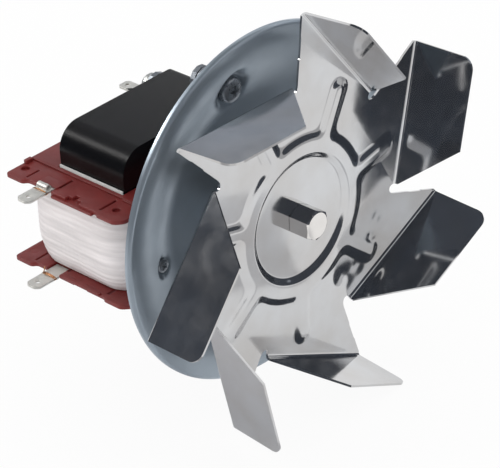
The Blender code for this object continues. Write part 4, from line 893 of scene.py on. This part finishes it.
for name, side in (("upper", 1), ("lower", -1)):
    lead_tab(name, side)
    strands = [tube(wire_path(side), WIRE), tube(wire_path(side) + STRAND_STEP, WIRE)]
    make("wire_" + name, strands, copper_finish, "motor", ["lead_wire_" + name])

# %% [markdown]
# ## The earth tag
# A stamped eyelet under the upper bolt's head, with a neck to the left and a blade that is bent back
# from it. The eyelet and neck are one plate across Y, the blade is one across Z.

# %% Earth tag
TAG_Y, TAG_LEFT, TAG_RIGHT, TAG_TOP, NECK_FOOT, EYELET = 52.9, -8.4, -3.2, 29.5, 25.2, 4.2
ring_arc = polar(EYELET, np.linspace(208.4, 503.4, 40), BOLT_X, BOLT_Z)
tag_outline = np.vstack([[(TAG_LEFT, TAG_TOP - 0.05), (TAG_LEFT, NECK_FOOT)], ring_arc])[::-1]
parts = plate(tag_outline, [circle(BOLT_HOLE, 32, BOLT_X, BOLT_Z)], TAG_Y, TAG_Y + TAB_SHEET, 0.1, axis="Y")
tag_blade = np.array([(TAG_LEFT, TAG_Y + 0.1), (TAG_RIGHT, TAG_Y + 0.1), (TAG_RIGHT, TAG_Y + 5.8),
                      (TAG_RIGHT - 1.0, TAG_Y + 6.8), (TAG_LEFT + 1.0, TAG_Y + 6.8), (TAG_LEFT, TAG_Y + 5.8)])
tag_eye = circle(EYE, 24, (TAG_LEFT + TAG_RIGHT) / 2, TAG_Y + 4.4)
tag_blade = soften(tag_blade, [0.05, 0.05, 0.4, 0.4, 0.4, 0.4], 4)
parts += plate(tag_blade, [tag_eye], TAG_TOP - TAB_SHEET, TAG_TOP, 0.12)
make("earth_tag", parts, tin_finish, "motor", ["earth_tab"], sharp=40.0)

# %% [markdown]
# ## Through bolts
# Two slotted cheese heads at the back clamp bracket, stack and front bracket together. A head is a
# height over the radius, lowered inside the slot; the shank is turned. Their nuts are hexagons whose
# corners are cut by the turned chamfer, as on the wheel's nut.

# %% Through bolts and their nuts
HEAD, HEAD_HEIGHT, HEAD_FLAT, SHANK, SHANK_END = 3.9, 2.7, 3.0, 2.0, 13.3
SLOT_HALF, SLOT_DEPTH = 0.42, 0.95
BOLT_NUT_HALF, BOLT_NUT_LIMITS = 3.5, np.array([2.3, 3.45, 4.05, 4.05, 3.6, 2.3])
BOLT_NUT_LEVELS = [14.1, 14.1, 14.4, 17.0, 17.3, 17.3]


def through_bolt(name, cz, seat):
    """Head y = seat + height - 0.25 (r / flat)^2 with a rounded edge, less the slot, then shank and end."""
    r = np.concatenate([np.linspace(0.0, HEAD_FLAT, 26), np.linspace(HEAD_FLAT + 0.1, HEAD, 8)])
    a = np.arange(96) * 3.75
    dome = seat + HEAD_HEIGHT - 0.25 * (r / HEAD_FLAT) ** 2 - 1.05 * smooth((r - 2.8) / 1.1) ** 1.5
    across = polar(r[:, None], a[None, :])[..., 1]
    sink = SLOT_DEPTH * smooth((SLOT_HALF - np.abs(across)) / 0.12 + 0.5)
    head = raised(polar(r[:, None], a[None, :], BOLT_X, cz), dome[:, None] - sink)
    shank = [(HEAD, float(dome[-1])), (HEAD, seat + 0.1), (HEAD - 0.1, seat), (SHANK, seat),
             (SHANK, SHANK_END + 0.3), (SHANK - 0.3, SHANK_END), (0.0, SHANK_END)]
    make("through_bolt_" + name, [grid(head, wrap_cols=True), revolve(shank, 96, BOLT_X, cz)], bolt_finish,
         "motor", ["through_screw_" + name], sharp=38.0)


def bolt_nut(name, cz):
    """Closed ring of rows: bore, chamfer, flats, chamfer, bore, each the smaller of hexagon and cone."""
    a = np.arange(48) * 7.5
    ring = np.minimum(hexagon_radius(BOLT_NUT_HALF, a + 30.0)[None], BOLT_NUT_LIMITS[:, None])
    rows = raised(polar(ring, a[None, :], BOLT_X, cz), BOLT_NUT_LEVELS)
    make("bolt_nut_" + name, [grid(rows, wrap_rows=True, wrap_cols=True)], bolt_finish, "motor",
         ["through_nut_" + name], sharp=25.0)


for name, cz, seat in (("upper", BOLT_Z, TAG_Y + 1.1), ("lower", -BOLT_Z, TAG_Y)):
    through_bolt(name, cz, seat)
    bolt_nut(name, cz)

# %% [markdown]
# ## What stays as it is
# Rotor, bearings, brackets, the bar through the coil and the paper at the core's foot are already right
# as solids. They only get their finishes: ground steel with turning marks, die-cast aluminium, oily
# bronze, nylon, zinc, paper and copper.

# %% Finishes for the solids that stay
STAY = {"rotor_core": rotor_finish, "rotor_cage": cast_finish, "front_thrust_sleeve": nylon_finish,
        "rear_thrust_sleeve": nylon_finish, "front_bearing": bronze_finish, "rear_bearing": bronze_finish,
        "front_bearing_retainer": screw_finish, "rear_bearing_retainer": screw_finish,
        "front_bracket": bracket_finish, "rear_bracket": bracket_finish, "coil_leg_bar": core_finish,
        "leg_insulation": paper_finish, "shading_ring_upper": copper_finish,
        "shading_ring_lower": copper_finish}
for node, material in STAY.items():
    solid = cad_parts[node]
    solid.data.materials.clear()
    solid.data.materials.append(material)
print("kept solids:", len(STAY))

# %% [markdown]
# ## Camera
# The camera stands to the left of the fan and above it, about 0.8 m away with a long lens, so that
# parallel edges stay nearly parallel.

# %% Camera
CAMERA_PLACE = (-0.522981, -0.504355, 0.432305)
CAMERA_TURN = (58.51232, 2.81010, -47.32148)
camera = bpy.data.objects.new("camera", bpy.data.cameras.new("camera"))
bpy.context.scene.collection.objects.link(camera)
camera.location = CAMERA_PLACE
camera.rotation_euler = Euler([math.radians(a) for a in CAMERA_TURN], "XYZ")
camera.data.sensor_width = 36.0
camera.data.sensor_fit = "HORIZONTAL"
camera.data.lens = 178.7663
camera.data.clip_start = 0.05
camera.data.clip_end = 20.0
bpy.context.scene.camera = camera
bpy.context.scene.view_settings.view_transform = "Standard"
print("lens, mm:", round(camera.data.lens, 1), "distance, m:", round(camera.location.length, 2))

# %% [markdown]
# ## The stage
# What stands round the fan is matt and simple: sheets of cloth, card and floor, given as tables of
# points like the pieces, but in metres and outside the object.

# %% Stage helpers
def stage_material(name, colour):
    """Matt stage surface without any gloss."""
    made = bpy.data.materials.new(name)
    made.use_nodes = True
    shader = made.node_tree.nodes["Principled BSDF"]
    shader.inputs["Base Color"].default_value = (*colour, 1.0)
    shader.inputs["Roughness"].default_value = 1.0
    shader.inputs["Specular IOR Level"].default_value = 0.0
    return made


def stage_sheet(name, points, material):
    """A sheet of the stage from a table of points in metres."""
    mesh = bpy.data.meshes.new(name)
    verts, quads = grid(points)
    mesh.from_pydata(verts.tolist(), [], quads)
    mesh.materials.append(material)
    sheet_object = bpy.data.objects.new(name, mesh)
    bpy.context.scene.collection.objects.link(sheet_object)
    return sheet_object


print("stage helpers ready")

# %% [markdown]
# The room is white, and it alone lights the painted, moulded and taped surfaces. The floor is white to
# the camera and pale to everything else, so it keeps the fan's shadow: part of its colour glows, but
# only for rays from the camera and, less, for mirrored ones.

# %% Room and floor
def let_glow(made, camera_share, mirror_share):
    """Share of white emission = camera_share x (is camera ray + mirror_share x is glossy ray)."""
    nodes, links = made.node_tree.nodes, made.node_tree.links
    emission = nodes.new("ShaderNodeEmission")
    path = nodes.new("ShaderNodeLightPath")
    seen = nodes.new("ShaderNodeMath")
    seen.operation = "MULTIPLY_ADD"
    seen.inputs[1].default_value = mirror_share
    links.new(path.outputs["Is Glossy Ray"], seen.inputs[0])
    links.new(path.outputs["Is Camera Ray"], seen.inputs[2])
    share = nodes.new("ShaderNodeMath")
    share.operation = "MULTIPLY"
    share.inputs[1].default_value = camera_share
    links.new(seen.outputs["Value"], share.inputs[0])
    mix = nodes.new("ShaderNodeMixShader")
    links.new(share.outputs["Value"], mix.inputs["Fac"])
    links.new(nodes["Principled BSDF"].outputs["BSDF"], mix.inputs[1])
    links.new(emission.outputs["Emission"], mix.inputs[2])
    links.new(mix.outputs["Shader"], nodes["Material Output"].inputs["Surface"])


world = bpy.data.worlds.new("room")
world.use_nodes = True
bpy.context.scene.world = world
world.node_tree.nodes["Background"].inputs["Color"].default_value = (1.0, 1.0, 1.0, 1.0)
world.node_tree.nodes["Background"].inputs["Strength"].default_value = 1.0

FLOOR_HALF = 3.0
floor_z = cad_box[0][2] - 0.0005
pale_floor = stage_material("pale_floor", (0.93, 0.93, 0.93))
let_glow(pale_floor, 0.93, 0.6)
ruler = np.linspace(-FLOOR_HALF, FLOOR_HALF, 7)
x, y = np.meshgrid(ruler, ruler, indexing="ij")
stage_sheet("floor", np.dstack([x, y, np.full(x.shape, floor_z)]), pale_floor)
print("floor at, mm:", round(floor_z * 1000, 1))

# %% [markdown]
# ## What the mirror sees
# Polished sheet is drawn by what it mirrors, and a product photographer hangs a tent round the set for
# that. Here dark cloth closes the tent nearly everywhere; the gaps that are left are what the flaps
# show as pale bands. A small window light stands behind on the left for the core's shoulder. Cloth and
# light are seen by mirroring surfaces only, so they cast no shadow and tint nothing.

# %% Tent
def hidden(sheet_object):
    """Seen by polished metal only: it neither dims the lit surfaces nor shows in the picture."""
    sheet_object.visible_camera = False
    sheet_object.visible_diffuse = False
    sheet_object.visible_shadow = False


def hang(name, azimuths, elevations, tone, radius=0.9):
    """Patch of a sphere round the fan: (cos a cos e, sin a cos e, sin e) times the radius."""
    a, e = np.radians(np.meshgrid(np.linspace(*azimuths, 25), np.linspace(*elevations, 9), indexing="ij"))
    patch = radius * np.dstack([np.cos(a) * np.cos(e), np.sin(a) * np.cos(e), np.sin(e)])
    hidden(stage_sheet(name, patch, tone))


window_lamp = stage_material("window_light", (0.8, 0.8, 0.8))
window_lamp.node_tree.nodes["Principled BSDF"].inputs["Emission Color"].default_value = (1.0, 0.99, 0.97, 1.0)
window_lamp.node_tree.nodes["Principled BSDF"].inputs["Emission Strength"].default_value = 10.0
night = stage_material("night_cloth", (0.068, 0.076, 0.092))
dusk = stage_material("dusk_cloth", (0.32, 0.345, 0.39))
hang("tent_side", (78.0, 330.0), (-4.8, 37.0), night)
hang("tent_back", (120.0, 271.0), (37.0, 58.0), night)
hang("tent_front_top", (271.0, 316.0), (52.0, 58.0), night)
hang("tent_front_right", (316.0, 438.0), (42.0, 58.0), night)
hang("tent_top", (0.0, 360.0), (58.0, 90.0), night)
hang("tent_right", (-30.0, 78.0), (10.0, 28.5), dusk)
hang("tent_right_foot", (-30.0, 14.0), (-4.8, 10.0), night)
hang("window_light", (114.0, 138.0), (31.0, 47.0), window_lamp, 0.88)

# %% [markdown]
# The arms and the disc look down on the table, so grey cards and strips of cloth lie there and give
# each arm its own tone. The cards are painted shade of the table as the metal mirrors it: darker under
# the motor's foot, just in front of the fan, to the left and far off in front. Each is a sector of a
# ring round the fan, lifted off the table by a hair.

# %% Cards on the table
def lay(name, azimuths, radii, tone, lift):
    """Sector of a ring on the table: (r cos a, r sin a, floor + lift)."""
    a, r = np.meshgrid(np.radians(np.linspace(*azimuths, 25)), np.linspace(*radii, 5), indexing="ij")
    patch = np.dstack([r * np.cos(a), r * np.sin(a), np.full(a.shape, floor_z + lift)])
    hidden(stage_sheet(name, patch, tone))


# Grey and pale cards: painted shade of the table, seen only in the polished metal.
card = stage_material("table_shade_grey", (0.50, 0.50, 0.51))
pale = stage_material("table_shade_pale", (0.68, 0.68, 0.69))
# Whitish card: painted contact shadow of the table under the motor's foot.
foot_shadow_card = stage_material("foot_shadow_card", (0.84, 0.84, 0.86))
lay("table_cloth", (78.0, 240.0), (0.40, 0.92), night, 0.0004)
lay("table_shade_left", (150.0, 240.0), (0.078, 0.36), card, 0.0002)
# Painted contact shadow under the motor's foot, seen only in the mirror.
lay("table_foot_shadow", (150.0, 240.0), (0.030, 0.078), foot_shadow_card, 0.0002)
lay("table_shade_near", (288.0, 308.5), (0.088, 0.155), pale, 0.0003)
lay("table_shade_front", (296.0, 322.0), (0.28, 0.92), card, 0.0003)
lay("table_cloth_front", (322.0, 338.0), (0.12, 0.92), night, 0.0006)
lay("table_cloth_right", (-22.0, 14.0), (0.15, 0.92), night, 0.0005)
